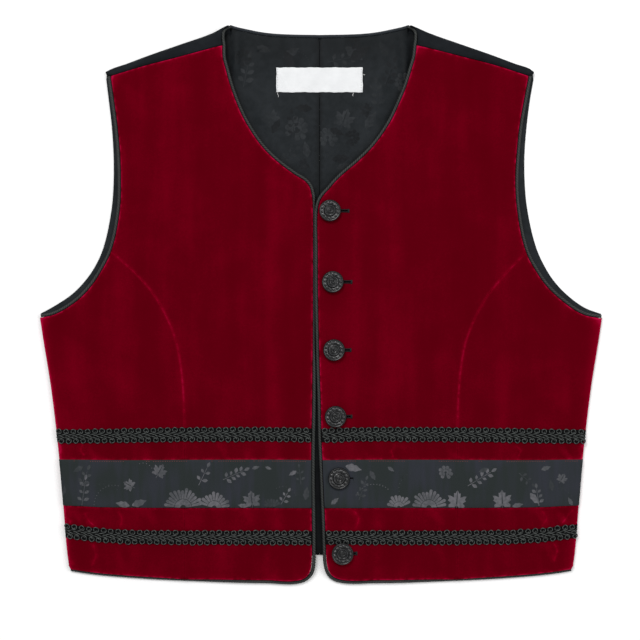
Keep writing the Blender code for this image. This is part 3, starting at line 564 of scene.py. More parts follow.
def triangulate(outline, step, holes=(), lines=(), rings=(), margin=0.6):
    """Triangles inside an outline: on its points, rows just inside it, given lines and a staggered grid."""
    points, edges = [], []

    def add(path, closed):
        first = len(points)
        points.extend(map(tuple, path))
        edges.extend((first + i, first + i + 1) for i in range(len(path) - 1))
        if closed:
            edges.append((len(points) - 1, first))

    add(outline, True)
    for path in holes:
        add(path, True)
    for path, closed in lines:
        add(path, closed)
    borders = [np.vstack([path, path[:1]]) for path in (outline, *holes)]
    for depth in rings:
        for number, border in enumerate(borders):
            ring = shifted(border, depth * turning(border) * (1 if number == 0 else -1))[:-1]
            away = np.min([distance_to(other, ring) for other in borders], axis=0)
            kept = (away > 0.93 * depth) & inside(outline, ring)
            for hole in holes:
                kept &= ~inside(hole, ring)
            points.extend(map(tuple, ring[kept]))
    low, high = outline.min(0), outline.max(0)
    rows = np.arange(low[1] + step / 2, high[1], step * 0.87)
    columns = np.arange(low[0] + step / 4, high[0], step)
    grid = np.array([(x + 0.5 * step * (row % 2), y) for row, y in enumerate(rows) for x in columns])
    reach = max(rings, default=0.0) + margin * step
    kept = inside(outline, grid) & (np.min([distance_to(border, grid) for border in borders], axis=0) > reach)
    for hole in holes:
        kept &= ~inside(hole, grid)
    points.extend(map(tuple, grid[kept]))
    flat, _, faces, *_ = delaunay_2d_cdt(points, edges, [], 0, 1e-5)
    flat = np.array([tuple(point) for point in flat])
    faces = np.array([face for face in faces if len(face) == 3])
    middle = flat[faces].mean(1)
    kept = inside(outline, middle)
    for hole in holes:
        kept &= ~inside(hole, middle)
    faces = faces[kept]
    a, b, c = flat[faces[:, 0]], flat[faces[:, 1]], flat[faces[:, 2]]
    flip = (b[:, 0] - a[:, 0]) * (c[:, 1] - a[:, 1]) - (b[:, 1] - a[:, 1]) * (c[:, 0] - a[:, 0]) < 0
    faces[flip] = faces[flip][:, ::-1]
    used = np.unique(faces)
    order = np.zeros(len(flat), int)
    order[used] = np.arange(len(used))
    return flat[used], order[faces], borders


def rim_of(faces):
    """Edges that only one triangle has, in that triangle's direction."""
    used = {}
    for a, b in faces[:, [0, 1, 1, 2, 2, 0]].reshape(-1, 2):
        used[(a, b)] = True
    return [(a, b) for a, b in used if (b, a) not in used]


def fold_chains(fold, rim, flat, low, high):
    """Rows of points round a fold: each fold point's outer and inner row of indices, and the new points."""
    start_line, chain = fold
    count = len(flat)
    chains, extra = {}, []
    for i in {i for pair in rim for i in pair}:
        if np.linalg.norm(start_line - flat[i], axis=1).min() < 0.01:
            outer, inner = chain(flat[i], low[i], high[i])
            first = 2 * count + len(extra)
            chains[i] = ([i] + list(range(first, first + len(outer))),
                         [i + count] + list(range(first + len(outer), first + 2 * len(outer))))
            extra += outer + inner
    return chains, extra


def wall_faces(rim, chains, count):
    """Faces between a shell's two sides, round its rim and round the fold's far edge."""
    walls = []
    for a, b in rim:
        if a in chains and b in chains:
            ring_a, ring_b = (chains[i][0] + chains[i][1][::-1] for i in (a, b))
            walls += [(ring_a[k], ring_b[k], ring_b[k + 1], ring_a[k + 1]) for k in range(len(ring_a) - 1)]
            continue
        walls.append((a, b, b + count, a + count))
        for end, backwards in ((a, True), (b, False)):
            if end in chains:
                outer, inner = chains[end]
                caps = [(outer[k], outer[k + 1], inner[k + 1], inner[k]) for k in range(len(outer) - 1)]
                walls += [cap[::-1] for cap in caps] if backwards else caps
    return walls


def cloth(name, outline, heights, step, materials, slot, holes=(), lines=(), roundness=0.0, figures=(),
          figure_rise=0.0, values=None, fold=None, ring_shares=(0.12, 0.4, 1.0), flush=None):
    """Closed shell of cloth with rounded edges.

    Materials are those of its upper face, its lower face and each group of woven figures. Beside a fold's
    start and a flush seam the edges stay square or nearly so.
    """
    rings = [roundness * share for share in ring_shares] if roundness else []
    shapes = [(shape, slot_number) for slot_number, group in enumerate(figures, 2) for shape in group]
    drawn = list(lines) + [(shape, True) for shape, _ in shapes]
    flat, faces, borders = triangulate(outline, step, holes, drawn, rings)
    low, high = heights(flat)
    edge = np.min([distance_to(border, flat) for border in borders], axis=0)
    if roundness:
        t = np.clip(edge / roundness, 0, 1)
        drop = (high - low) * EDGE_SHARE * (1 - np.sqrt(1 - (1 - t) ** 2))
        if fold:
            drop *= ease(distance_to(fold[0], flat) / FOLD_REACH)
        if flush is not None:
            drop *= FLUSH_SHARE + (1 - FLUSH_SHARE) * ease(distance_to(flush, flat) / FLUSH_REACH)
        high, low = high - drop, low + drop
    figured = np.zeros(len(faces), int)
    middle = flat[faces].mean(1)
    for figure, slot_number in shapes:
        near = np.flatnonzero(((middle > figure.min(0)) & (middle < figure.max(0))).all(1))
        figured[near[inside(figure, middle[near])]] = slot_number
    high[np.unique(faces[figured > 0])] += figure_rise
    count = len(flat)
    points = np.vstack([np.column_stack([flat, low]), np.column_stack([flat, high])])
    rim = rim_of(faces)
    chains, extra = fold_chains(fold, rim, flat, low, high) if fold else ({}, [])
    walls = wall_faces(rim, chains, count)
    if extra:
        points = np.vstack([points, extra])
    all_faces = (faces + count).tolist() + faces[:, ::-1].tolist() + walls
    under = min(1, len(materials) - 1)
    slots = figured.tolist() + [under] * len(faces) + [0] * len(walls)
    layers = {}
    for key, function in (values or {}).items():
        upper = function(flat)
        layers[key] = np.concatenate([upper, upper, np.zeros(len(extra))])
    return make_object(name, points, all_faces, materials, slots, layers)


def cord(path, radii, sides, twist=0.0, lobes=0, depth=0.0):
    """Points, faces and painted light values of a round or twisted cord along a path, closed at both ends.

    The painted light is 1 along the top of each strand and falls to 0 in the grooves and down the sides: a
    painted highlight over painted shade.
    """
    centres = np.asarray(path, float)
    along = np.gradient(centres, axis=0)
    along /= np.linalg.norm(along, axis=1)[:, None]
    across = np.cross(along, (0.0, 0.0, 1.0))
    across /= np.linalg.norm(across, axis=1)[:, None]
    lift = np.cross(across, along)
    run = np.r_[0, np.cumsum(np.linalg.norm(np.diff(centres, axis=0), axis=1))]
    angle = 2 * math.pi * np.arange(sides) / sides
    radius = np.broadcast_to(np.asarray(radii, float).reshape(-1, 1), (len(centres), sides)).copy()
    # Painted light: lighter on the cord's upper half, darker down its sides and underneath
    painted_strand_light = np.broadcast_to(0.25 + 0.75 * np.clip(np.sin(angle), 0, 1), radius.shape).copy()
    if lobes:
        phase = lobes / 2 * (angle[None, :] - 2 * math.pi * run[:, None] / twist)
        radius *= 1 - depth * (1 - np.abs(np.cos(phase)))
        # Painted shade in the grooves between strands
        painted_strand_light *= np.clip(1.5 * np.abs(np.cos(phase)) - 0.5, 0, 1)
    points = (centres[:, None] + (radius * np.cos(angle))[..., None] * across[:, None]
              + (radius * np.sin(angle))[..., None] * lift[:, None]).reshape(-1, 3)
    k = np.arange(sides)
    after = (k + 1) % sides
    rings = np.arange(len(centres) - 1)[:, None] * sides
    quads = np.stack([rings + after, rings + k, rings + sides + k, rings + sides + after], axis=-1)
    last = len(points) - sides
    faces = quads.reshape(-1, 4).tolist() + [list(range(sides)), [last + i for i in range(sides)][::-1]]
    return points, faces, painted_strand_light.ravel()


def make_cords(name, cords, material):
    """One object from many cords."""
    points, faces, painted_strand_lights, first = [], [], [], 0
    for cord_points, cord_faces, painted_strand_light in cords:
        points.append(cord_points)
        faces += [[i + first for i in face] for face in cord_faces]
        painted_strand_lights.append(painted_strand_light)
        first += len(cord_points)
    # The cords' painted light values, for their colour
    values = {"painted_strand_light": np.concatenate(painted_strand_lights)}
    return make_object(name, np.vstack(points), faces, [material], values=values)


def turning(polygon):
    """1 for a polygon that runs anticlockwise, -1 for one that runs clockwise."""
    x, y = polygon[:, 0], polygon[:, 1]
    return 1 if np.dot(x, np.roll(y, -1)) > np.dot(y, np.roll(x, -1)) else -1


# Materials

def new_material(name, roughness, specular, **sockets):
    """Material with its constant values on the shader's own sockets."""
    material = bpy.data.materials.new(name)
    material.use_nodes = True
    shader = material.node_tree.nodes["Principled BSDF"]
    values = {"Roughness": roughness, "Specular IOR Level": specular}
    values.update({key.replace("_", " "): value for key, value in sockets.items()})
    for key, value in values.items():
        shader.inputs[key].default_value = value
    return material


def add_node(material, kind, inputs, **settings):
    """Shader node whose inputs are numbers or other nodes' outputs."""
    node = material.node_tree.nodes.new("ShaderNode" + kind)
    for key, value in settings.items():
        setattr(node, key, value)
    for key, value in inputs.items():
        if isinstance(value, bpy.types.NodeSocket):
            material.node_tree.links.new(value, node.inputs[key])
        else:
            node.inputs[key].default_value = value
    return node


def noise(material, scale, stretch=(1.0, 1.0, 1.0), detail=3.0):
    """Noise whose scale is in cycles a metre."""
    place = add_node(material, "TexCoord", {})
    mapped = add_node(material, "Mapping", {"Vector": place.outputs["Object"], "Scale": stretch})
    found = add_node(material, "TexNoise", {"Vector": mapped.outputs[0], "Scale": scale, "Detail": detail})
    return found.outputs[0]


def threads(material, direction, period):
    """Even ridges across one direction, at a period in millimetres."""
    place = add_node(material, "TexCoord", {})
    inputs = {"Vector": place.outputs["Object"], "Scale": math.pi / 10 / (period * MM), "Distortion": 0.6,
              "Detail": 2.0, "Detail Scale": 2.0}
    found = add_node(material, "TexWave", inputs, wave_type="BANDS", bands_direction=direction)
    return found.outputs["Fac"]


def math_node(material, operation, first, second):
    return add_node(material, "Math", {0: first, 1: second}, operation=operation).outputs[0]


def spread(material, value, low, high, out_low=0.0, out_high=1.0):
    """The value's range from low to high, spread over another range."""
    found = add_node(material, "MapRange", {"Value": value, "From Min": low, "From Max": high,
                                            "To Min": out_low, "To Max": out_high})
    return found.outputs[0]


def ramp(material, factor, stops):
    found = add_node(material, "ValToRGB", {"Fac": factor})
    elements = found.color_ramp.elements
    while len(elements) < len(stops):
        elements.new(1.0)
    for element, (place, colour) in zip(elements, stops):
        element.position = place
        element.color = (*colour, 1.0)
    return found.outputs["Color"]


def finish_material(material, colour, height, distance, roughness=None):
    """Joins colour, bump and roughness to the material's shader."""
    shader = material.node_tree.nodes["Principled BSDF"]
    links = material.node_tree.links
    links.new(colour, shader.inputs["Base Color"])
    bump = add_node(material, "Bump", {"Strength": 1.0, "Distance": distance * MM, "Height": height})
    links.new(bump.outputs[0], shader.inputs["Normal"])
    if roughness is not None:
        links.new(roughness, shader.inputs["Roughness"])
    return material


def attribute(material, name):
    return add_node(material, "Attribute", {}, attribute_name=name, attribute_type="GEOMETRY").outputs["Fac"]


def velvet_material():
    """Deep red pile, with painted sheen where it turns over at edges, seams and creases and painted light by
    slope.
    """
    material = new_material("velvet", 0.9, 0.0, Sheen_Weight=0.12, Sheen_Roughness=0.3,
                            Sheen_Tint=(1.0, 0.02, 0.12, 1.0))
    streaks = spread(material, noise(material, 1.0, (52.0, 6.0, 30.0)), 0.35, 0.7, -0.045, 0.055)
    patches = spread(material, noise(material, 34.0, detail=2.0), 0.35, 0.65, -0.03, 0.035)
    grain = spread(material, noise(material, 900.0, detail=1.0), 0.3, 0.7, -0.04, 0.04)
    # Painted sheen: the pile value broken into brighter spots by noise, plus painted light and shade by slope
    # from the lean value
    painted_sheen_spots = spread(material, noise(material, 190.0, detail=2.0), 0.35, 0.65, 0.4, 1.6)
    painted_pile_sheen = math_node(material, "MULTIPLY", attribute(material, "pile"), painted_sheen_spots)
    lit = math_node(material, "ADD", painted_pile_sheen, attribute(material, "painted_lean_light"))
    tone = math_node(material, "ADD", math_node(material, "ADD", streaks, patches), grain)
    level = math_node(material, "ADD", math_node(material, "ADD", tone, lit), 0.28)
    # The ramp's top stop is the pink of the painted sheen
    colour = ramp(material, level, ((0.0, (0.064, 0.0, 0.0022)), (0.28, (0.094, 0.0, 0.0042)),
                                    (0.55, (0.175, 0.0, 0.0085)), (1.0, (0.42, 0.004, 0.042))))
    pile = noise(material, 2600.0, detail=2.0)
    return finish_material(material, colour, pile, 0.12)


def add_painted_shade(material, colour):
    """The colour, with painted shade where the cloth goes under the fronts."""
    # Painted shade: mixed towards near black by the depth value
    mixed = add_node(material, "MixRGB", {"Fac": attribute(material, "depth"), "Color1": colour,
                                          "Color2": (0.0012, 0.0014, 0.0016, 1.0)})
    return mixed.outputs[0]


def cloth_material(name, dark, light, roughness, period, bump, with_painted_shade=False):
    """Plain woven cloth in two close tones."""
    material = new_material(name, roughness, 0.1)
    tone = spread(material, noise(material, 35.0, (1.0, 0.6, 1.0)), 0.3, 0.7, 0.15, 0.85)
    mottle = spread(material, noise(material, 170.0, detail=2.0), 0.35, 0.65, -0.25, 0.25)
    colour = ramp(material, math_node(material, "ADD", tone, mottle), ((0.0, dark), (1.0, light)))
    weave = math_node(material, "MULTIPLY", threads(material, "X", period), threads(material, "Y", period))
    return finish_material(material, add_painted_shade(material, colour) if with_painted_shade else colour, weave, bump)


def satin_material(name, dark, light, roughness, with_painted_shade=False):
    """Woven figures: long floats that catch more light than the ground."""
    material = new_material(name, roughness, 0.12)
    fade = spread(material, noise(material, 32.0, detail=2.0), 0.4, 0.6, 0.0, 0.8)
    flecks = spread(material, noise(material, 420.0, detail=2.0), 0.35, 0.65, -0.25, 0.25)
    colour = ramp(material, math_node(material, "ADD", fade, flecks), ((0.0, dark), (1.0, light)))
    floats = threads(material, "DIAGONAL", 0.55)
    return finish_material(material, add_painted_shade(material, colour) if with_painted_shade else colour, floats, 0.05)


def band_material(name, dark, light):
    """Ground of the band: greenish and bluish patches under faint upright streaks."""
    material = new_material(name, 0.6, 0.1)
    patches = spread(material, noise(material, 26.0, detail=1.0), 0.38, 0.62, 0.0, 0.8)
    streaks = spread(material, noise(material, 1.0, (210.0, 22.0, 30.0), 2.0), 0.35, 0.65, -0.3, 0.3)
    colour = ramp(material, math_node(material, "ADD", patches, streaks), ((0.0, dark), (1.0, light)))
    weave = math_node(material, "MULTIPLY", threads(material, "X", 0.5), threads(material, "Y", 0.5))
    return finish_material(material, colour, weave, 0.04)


def cord_material(name, dark, light, roughness, specular=0.2):
    """Wound silky thread, with a painted highlight along the tops of its strands and painted shade in its
    grooves and down its sides.
    """
    material = new_material(name, roughness, specular)
    tone = spread(material, noise(material, 420.0), 0.3, 0.7, 0.7, 1.0)
    # Painted light and shade from the cords' values, with random tone
    level = math_node(material, "MULTIPLY", attribute(material, "painted_strand_light"), tone)
    strands = noise(material, 1700.0, detail=2.0)
    return finish_material(material, ramp(material, level, ((0.0, dark), (1.0, light))), strands, 0.12)


def button_material():
    """Black glaze over cast metal, with a grey painted highlight on the high parts of the relief."""
    material = new_material("button_glaze", 0.3, 0.42)
    # Painted highlight: grey on the high relief, broken up by noise
    high = spread(material, attribute(material, "relief"), 0.2, 0.9)
    painted_highlight_spots = spread(material, noise(material, 300.0), 0.35, 0.65, 0.45, 1.0)
    painted_highlight = math_node(material, "MULTIPLY", high, painted_highlight_spots)
    colour = ramp(material, painted_highlight, ((0.0, (0.0018, 0.0022, 0.0026)), (1.0, (0.024, 0.025, 0.027))))
    rough = spread(material, noise(material, 500.0), 0.3, 0.7, 0.22, 0.36)
    return finish_material(material, colour, noise(material, 700.0), 0.012, rough)


def label_material():
    """White woven tape, faintly uneven."""
    material = new_material("label_weave", 0.6, 0.3, Sheen_Weight=0.1, Sheen_Roughness=0.4)
    tone = spread(material, noise(material, 90.0), 0.3, 0.7)
    colour = ramp(material, tone, ((0.0, (0.70, 0.71, 0.72)), (1.0, (0.77, 0.78, 0.79))))
    weave = math_node(material, "MULTIPLY", threads(material, "X", 0.5), threads(material, "Y", 0.35))
    return finish_material(material, colour, weave, 0.08)


VELVET = velvet_material()
BACK_CLOTH = cloth_material("back_cloth", (0.0055, 0.0068, 0.0085), (0.0095, 0.0115, 0.014), 0.8, 0.6, 0.06)
FACING = cloth_material("facing_cloth", (0.002, 0.0024, 0.003), (0.004, 0.0046, 0.0055), 0.8, 0.6, 0.06)
# The lining and its figures take painted shade beside the fronts' neckline
LINING = cloth_material("lining_ground", (0.0056, 0.0078, 0.0092), (0.0132, 0.0160, 0.0186), 0.6, 0.5, 0.04,
                        with_painted_shade=True)
LINING_FIGURE = satin_material("lining_figure", (0.0092, 0.0115, 0.0135), (0.0205, 0.0235, 0.0265), 0.5,
                              with_painted_shade=True)
LINING_SHADE = satin_material("lining_shade", (0.0030, 0.0042, 0.0054), (0.0082, 0.0098, 0.0118), 0.55,
                              with_painted_shade=True)
BAND = band_material("band_ground", (0.0165, 0.0215, 0.0215), (0.0225, 0.0250, 0.0335))
BAND_FIGURE = satin_material("band_figure", (0.056, 0.059, 0.065), (0.120, 0.118, 0.130), 0.5)
BAND_SHADOW_FIGURE = satin_material("band_shadow_figure", (0.024, 0.028, 0.031), (0.046, 0.050, 0.055), 0.5)
GIMP = cord_material("gimp_cord", (0.0015, 0.002, 0.002), (0.105, 0.115, 0.110), 0.5)
GIMP_TAPE = cloth_material("gimp_tape", (0.001, 0.001, 0.0012), (0.002, 0.002, 0.0024), 0.85, 0.8, 0.08)
PIPING = cord_material("piping_cord", (0.0022, 0.003, 0.003), (0.060, 0.065, 0.062), 0.6)
# Lighter than the lining ground it continues: painted light on the rolled back-neck edge
NECK_EDGE_CLOTH = cloth_material("neck_edge_cloth", (0.016, 0.019, 0.023), (0.022, 0.026, 0.031), 0.6, 0.6,
                                 0.05)
THREAD = cord_material("black_thread", (0.001, 0.0012, 0.0014), (0.011, 0.012, 0.014), 0.6)
RED_THREAD = cord_material("red_thread", (0.04, 0.014, 0.015), (0.2, 0.075, 0.07), 0.6)
WHITE_THREAD = cord_material("white_thread", (0.2, 0.2, 0.2), (0.6, 0.6, 0.6), 0.6)
BUTTON = button_material()
LABEL = label_material()


# Woven figures

def turned(shape, x, y, turn):
    """The shape turned by degrees, then moved to x and y."""
    c, s = math.cos(math.radians(turn)), math.sin(math.radians(turn))
    return np.asarray(shape) @ np.array([[c, s], [-s, c]]) + (x, y)


def leaf_shape(length, width, teeth=0, fullness=0.8):
    """Leaf from its stalk at the origin along X, toothed where teeth are given."""
    t = np.linspace(0, 1, 11 + 4 * teeth)[1:-1]
    half = width / 2 * np.sin(math.pi * t ** fullness)
    if teeth:
        half *= 0.74 + 0.26 * np.abs(2 * ((t * teeth) % 1) - 1)
    upper = np.column_stack([t * length, half])
    return np.vstack([[(0, 0)], upper, [(length, 0)], (upper * (1, -1))[::-1]])


def lobed_shape(size):
    """Lobed leaf about the end of its stalk, pointing along X."""
    lobes = ((0, 1.0), (9, 0.78), (17, 0.82), (27, 0.5), (40, 0.74), (50, 0.9), (60, 0.66), (72, 0.7),
             (86, 0.42), (101, 0.6), (118, 0.66), (134, 0.42), (152, 0.34), (170, 0.16))
    angles = [math.radians(a) for a, _ in lobes] + [math.radians(-a) for a, _ in lobes[:0:-1]]
    radii = [r for _, r in lobes] + [r for _, r in lobes[:0:-1]]
    return size * np.array([(r * math.cos(a), r * math.sin(a)) for a, r in zip(angles, radii)])


def leaf(x, y, size, turn, teeth=3):
    """One toothed leaf, from its stalk."""
    return [turned(leaf_shape(size, 0.5 * size, teeth), x, y, turn)]


def lobed(x, y, size, turn, gap=0.35):
    """Lobed leaf split along its middle vein, with a stalk."""
    whole = lobed_shape(size)
    upper = whole[whole[:, 1] >= 0] + (0, gap / 2)
    lower = whole[whole[:, 1] <= 0] - (0, gap / 2)
    stalk = np.array([(-0.55 * size, -0.2), (-0.05 * size, -0.3), (-0.05 * size, 0.3), (-0.55 * size, 0.2)])
    return [turned(shape, x, y, turn) for shape in (upper, lower, stalk)]


def blossom(x, y, size, turn, spread_angle, petals):
    """Narrow petals in a dense fan over a solid heart, across a spread of degrees."""
    half = math.radians(spread_angle) / 2
    around = np.linspace(-half, half, 9 if half < 2.6 else 17)
    outer = size * 0.42 * np.column_stack([np.cos(around), np.sin(around)])
    inner = size * 0.14 * np.column_stack([np.cos(around), np.sin(around)])[::-1]
    shapes = [turned(np.vstack([outer, inner]), x, y, turn)]
    for k in range(petals):
        angle = turn + spread_angle * ((k + 0.5) / petals - 0.5)
        length = size * (0.54 - 0.13 * ((3 * k + 1) % 4) / 3)
        width = math.radians(spread_angle / petals) * size * 0.66
        tip = np.linspace(-math.pi / 2, math.pi / 2, 6)
        ends = np.column_stack([length - width / 2 + width / 2 * np.cos(tip), width / 2 * np.sin(tip)])
        petal = np.vstack([[(0, -0.3 * width)], ends, [(0, 0.3 * width)]]) + (size * 0.44, 0)
        shapes.append(turned(petal, x, y, angle))
    return shapes


def sprig(x, y, size, turn, pairs, leaflet=5.6):
    """Stem with pairs of leaflets and one at its tip."""
    shapes = [turned([(0, -0.28), (size, -0.2), (size, 0.2), (0, 0.28)], x, y, turn)]
    for k in range(pairs):
        along = size * (k + 0.7) / (pairs + 0.4)
        for way in (1, -1):
            foot = turned([(along, way * 0.7)], x, y, turn)[0]
            length = leaflet * (1.0 - 0.12 * ((k + (way > 0)) % 3))
            shapes.append(turned(leaf_shape(length, 0.56 * length, 0, 1.1), *foot, turn + way * (62 - 6 * k)))
    tip = turned([(size + 0.6, 0)], x, y, turn)[0]
    shapes.append(turned(leaf_shape(leaflet, 0.5 * leaflet, 0, 1.1), *tip, turn))
    return shapes


def tendril(x, y, size, turn, dots):
    """Row of small dots along an arc."""
    dot = [(0.55, 0), (0, 0.42), (-0.55, 0), (0, -0.42)]
    shapes = []
    for k in range(dots):
        angle = math.radians(100.0 * k / (dots - 1))
        placed = turned(dot, size * math.sin(angle), size * math.cos(angle), k * 40)
        shapes.append(turned(placed, x, y, turn))
    return shapes


MAKERS = {"leaf": leaf, "lobed": lobed, "blossom": blossom, "sprig": sprig, "tendril": tendril}


def figures_of(table):
    """Outlines of every figure in a table."""
    shapes = []
    for kind, x, y, size, turn, *rest in table:
        shapes += MAKERS[kind](x, y, size, turn, *rest)
    return shapes


def declare_cloth(outline, extra=0.0):
    """Works out the flat cut of what shows, the outline's width, length and area with a turned part's area,
    and keeps none of it.
    """
    width, length = np.ptp(outline, axis=0) * MM
    area = (polygon_area(outline) + extra) * MM * MM
    length = max(length, area / width)


# Back, lining and underlap

def straight(start, end, step):
    """Points between two others, without either."""
    start, end = np.array(start, float), np.array(end, float)
    count = max(2, int(np.linalg.norm(end - start) / step))
    return start + (end - start) * (np.arange(1, count) / count)[:, None]


def back_outline(side, step, side_inset, armhole_inset, hem_rise, shoulder_inset, centre_gap):
    """Edge of one half of the back, between the centre-back seam and the side seam."""
    neck = smooth_path(mirrored(side, BACK_NECK, NECK_CENTRE), step)
    neck[0, 0] += side * centre_gap
    shoulder = fold_start(side, step) - shoulder_normal(side) * shoulder_inset
    arm = shifted(armhole(side, step), -side * armhole_inset)[1:]
    seam = shifted(side_seam(side, step), -side * side_inset)
    hem = smooth_path(mirrored(side, BACK_HEM), step)[1:] + (0.0, hem_rise)
    hem[-1, 0] = NECK_CENTRE + side * centre_gap
    return np.vstack([neck, shoulder, arm, seam[:-1], hem, straight(hem[-1], neck[0], step)])


def shoulder_fold(side, step):
    """The back's forward shoulder: round the fold and on to the seam with the velvet."""
    _, radii = fold_path(side, step)
    start_line = fold_start(side, step)
    seam = shoulder_seam(side, step, HALF_GAP)
    tops = front_top(side, seam) - SEAM_GAP
    out = shoulder_normal(side)

    def chain(point, low, high):
        k = np.linalg.norm(start_line - point, axis=1).argmin()
        rows = []
        for depth in (0.0, BACK_THICK):
            row = []
            near_neck = ease(1 - 4 * k / len(seam))
            for angle in np.linspace(0, math.pi, 13)[1:]:
                reach = (radii[k] - depth) * math.sin(angle)
                pull = side * NECK_PULL * near_neck * ease(2 * angle / math.pi - 1)
                row.append((point[0] + out[0] * reach + pull, point[1] + out[1] * reach,
                            radii[k] - (radii[k] - depth) * math.cos(angle)))
            top = np.array(row[-1])
            end = np.array((*seam[k], tops[k] - depth))
            for t in np.linspace(0, 1, 9)[1:]:
                bulge = math.sin(math.pi * t)
                swell = (side * NECK_BULGE * near_neck * bulge, 0, FOLD_BULGE * bulge)
                row.append(tuple(top + (end - top) * t + swell))
            rows.append(row)
        return rows

    return start_line, chain


def lining_height(points):
    """How far the lining's soft folds stand over its flat face."""
    rise = np.zeros(len(points))
    for ax, ay, bx, by, width, height in LINING_CREASES:
        along, across = along_crease(points, (ax, ay), (bx, by))
        fading = height * ease((along + 0.1) / 0.3) * ease((1.1 - along) / 0.3)
        rise += fading * np.exp(-(across / width) ** 2)
    return rise


def flat_heights(low, high):
    """Lower and upper face of cloth that lies flat."""
    def heights(points):
        return np.full(len(points), low), np.full(len(points), high)
    return heights


def lining_heights(points):
    """Lower and upper face of the lining, with its soft folds."""
    rise = lining_height(points)
    return LINING_LOW + np.maximum(rise, 0.0), LINING_HIGH + rise


def painted_shade_of(side):
    """Painted shade on the lining beside the front's neckline, strongest at the shoulder, and darker along
    the centre-back seam and towards the back neck.
    """
    edge = smooth_path(front_rows(side)[:SHADE_ROWS], 3.0)

    def depth(points):
        reach = 4.0 + 4.0 * ease((points[:, 1] - 185.0) / 45.0)
        near = 0.95 * np.exp(-(distance_to(edge, points) / reach) ** 1.5)
        seam = 0.85 * np.exp(-((points[:, 0] - NECK_CENTRE) / 0.8) ** 2)
        top = 0.3 * ease((points[:, 1] - 208.0) / 26.0)
        return np.maximum(near, np.maximum(seam, top))
    return depth


def make_back(side):
    """One half of the back with its shoulder, and the lining on it."""
    word = WORDS[side]
    outline = back_outline(side, BACK_STEP, BACK_SIDE_INSET, 0.0, 0.0, 0.0, HALF_GAP)
    back = cloth("back_cloth_" + word, outline, flat_heights(0.0, BACK_THICK), BACK_GRID, [BACK_CLOTH],
                 "back_cloth", roundness=0.6, fold=shoulder_fold(side, BACK_STEP))
    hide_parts("back_" + word)
    declare_cloth(outline, extra=FORWARD_SHOULDER_AREA)

    outline = back_outline(side, LINING_STEP, LINING_SIDE_INSET, 0.8, LINING_HEM_RISE, SEAM_GAP,
                           LINING_HALF_GAP)
    # Its depth value carries painted shade beside the fronts' neckline
    lining = cloth("lining_cloth_" + word, outline, lining_heights, LINING_GRID,
                   [LINING, LINING, LINING_FIGURE, LINING_SHADE], "lining", roundness=0.5, figure_rise=0.05,
                   figures=[figures_of(LINING_FIGURES[side]), figures_of(LINING_SHADE_FIGURES[side])],
                   values={"depth": painted_shade_of(side)})
    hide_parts("back_lining_" + word)
    declare_cloth(outline)


def make_underlap():
    """Strip under the right front, which carries the buttons."""
    corners = np.array(UNDERLAP)[::-1]
    outline = np.vstack([np.vstack([corner, straight(corner, after, 4.0)])
                         for corner, after in zip(corners, np.roll(corners, -1, axis=0))])
    piece = cloth("underlap_cloth", outline, flat_heights(UNDERLAP_LOW, UNDERLAP_HIGH), UNDERLAP_GRID,
                  [FACING], "back_cloth", roundness=0.5)
    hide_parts("underlap")
    declare_cloth(outline)


# Fronts

def buttonhole(x, y, end):
    """Keyhole slot: round about the shank, then straight to its end."""
    reach = SHANK_RADIUS + 0.6
    start = math.asin(SLOT_HALF / reach)
    round_part = [(x + reach * math.cos(a), y + reach * math.sin(a))
                  for a in np.linspace(start, 2 * math.pi - start, 20)]
    lower, upper = (end, y - SLOT_HALF), (end, y + SLOT_HALF)
    return np.vstack([[lower, upper], straight(upper, round_part[0], 1.5), round_part,
                      straight(round_part[-1], lower, 1.5)])


def painted_pile_sheen_of(side, border):
    """Painted sheen on pile that turns over: strong at edges, weaker at the princess seam and beside the
    band, with painted highlight lines at sharp creases.
    """
    seam = princess(side, 6.0, 0.0)

    def pile(points):
        weight = np.where(points[:, 1] > TRIMS_START, PILE_SEAM, PILE_SEAM_LOW)
        weight = np.where(distance_to(seam, points) < 3.0, weight, PILE_EDGE)
        trims = np.zeros(len(points))
        for column, way in BAND_EDGES:
            away = way * (points[:, 1] - table_at(TRIMS, column, np.abs(points[:, 0])))
            trims += np.where(away > -1.0, np.exp(-np.abs(away - 0.3) / 0.9), 0.0)
        sharp = sum(np.exp(-(distance_to(line, points) / 1.1) ** 2) for line in sharp_lines(side, 2.0))
        return weight * np.exp(-distance_to(border, points) / 0.8) + PILE_TRIM * trims + PILE_SHARP * sharp
    return pile


def painted_lean_light_of(side):
    """Painted light and shade on pile that leans with the slope, and painted sheen along seams and at the
    corners where the cloth turns down.
    """
    seam = princess(side, 6.0, 0.0)
    corners = np.array([(side * x, y) for x, y in TURNED_CORNERS])

    def painted_lean_light(points):
        slope_x, slope_y = ((front_top(side, points + way) - front_top(side, points - way)) / (2 * LEAN_REACH)
                            for way in (np.array((LEAN_REACH, 0.0)), np.array((0.0, LEAN_REACH))))
        drawn = 1.0 + np.exp(-((points[:, 1] + 65.0) / 28.0) ** 2)
        sewn = drawn * ease((points[:, 1] + 150.0) / 60.0) * np.exp(-distance_to(seam, points) / 0.9)
        among_trims = 1.0 + 0.9 * ease((-106.0 - points[:, 1]) / 10.0)
        steepness = np.hypot(slope_x, slope_y)
        slope = among_trims * (LEAN_X * slope_x + LEAN_Y * slope_y + LEAN_STEEP * steepness)
        slope = np.clip(slope, LEAN_LOWEST, LEAN_HIGHEST)
        turned_in = sum(np.exp(-(np.linalg.norm(points - corner, axis=1) / 5.0) ** 2) for corner in corners)
        flank = np.exp(-distance_to(SEAMS[side], points) / 4.0)
        return slope + LEAN_SEAM * sewn + LEAN_CORNER * turned_in + LEAN_FLANK * flank
    return painted_lean_light


def sharp_lines(side, step):
    """Paths of a front's sharp creases, which are only painted highlight lines."""
    return [smooth_path([(side * x, y) for x, y in rows], step) for way, rows in SHARP_CREASES if way == side]


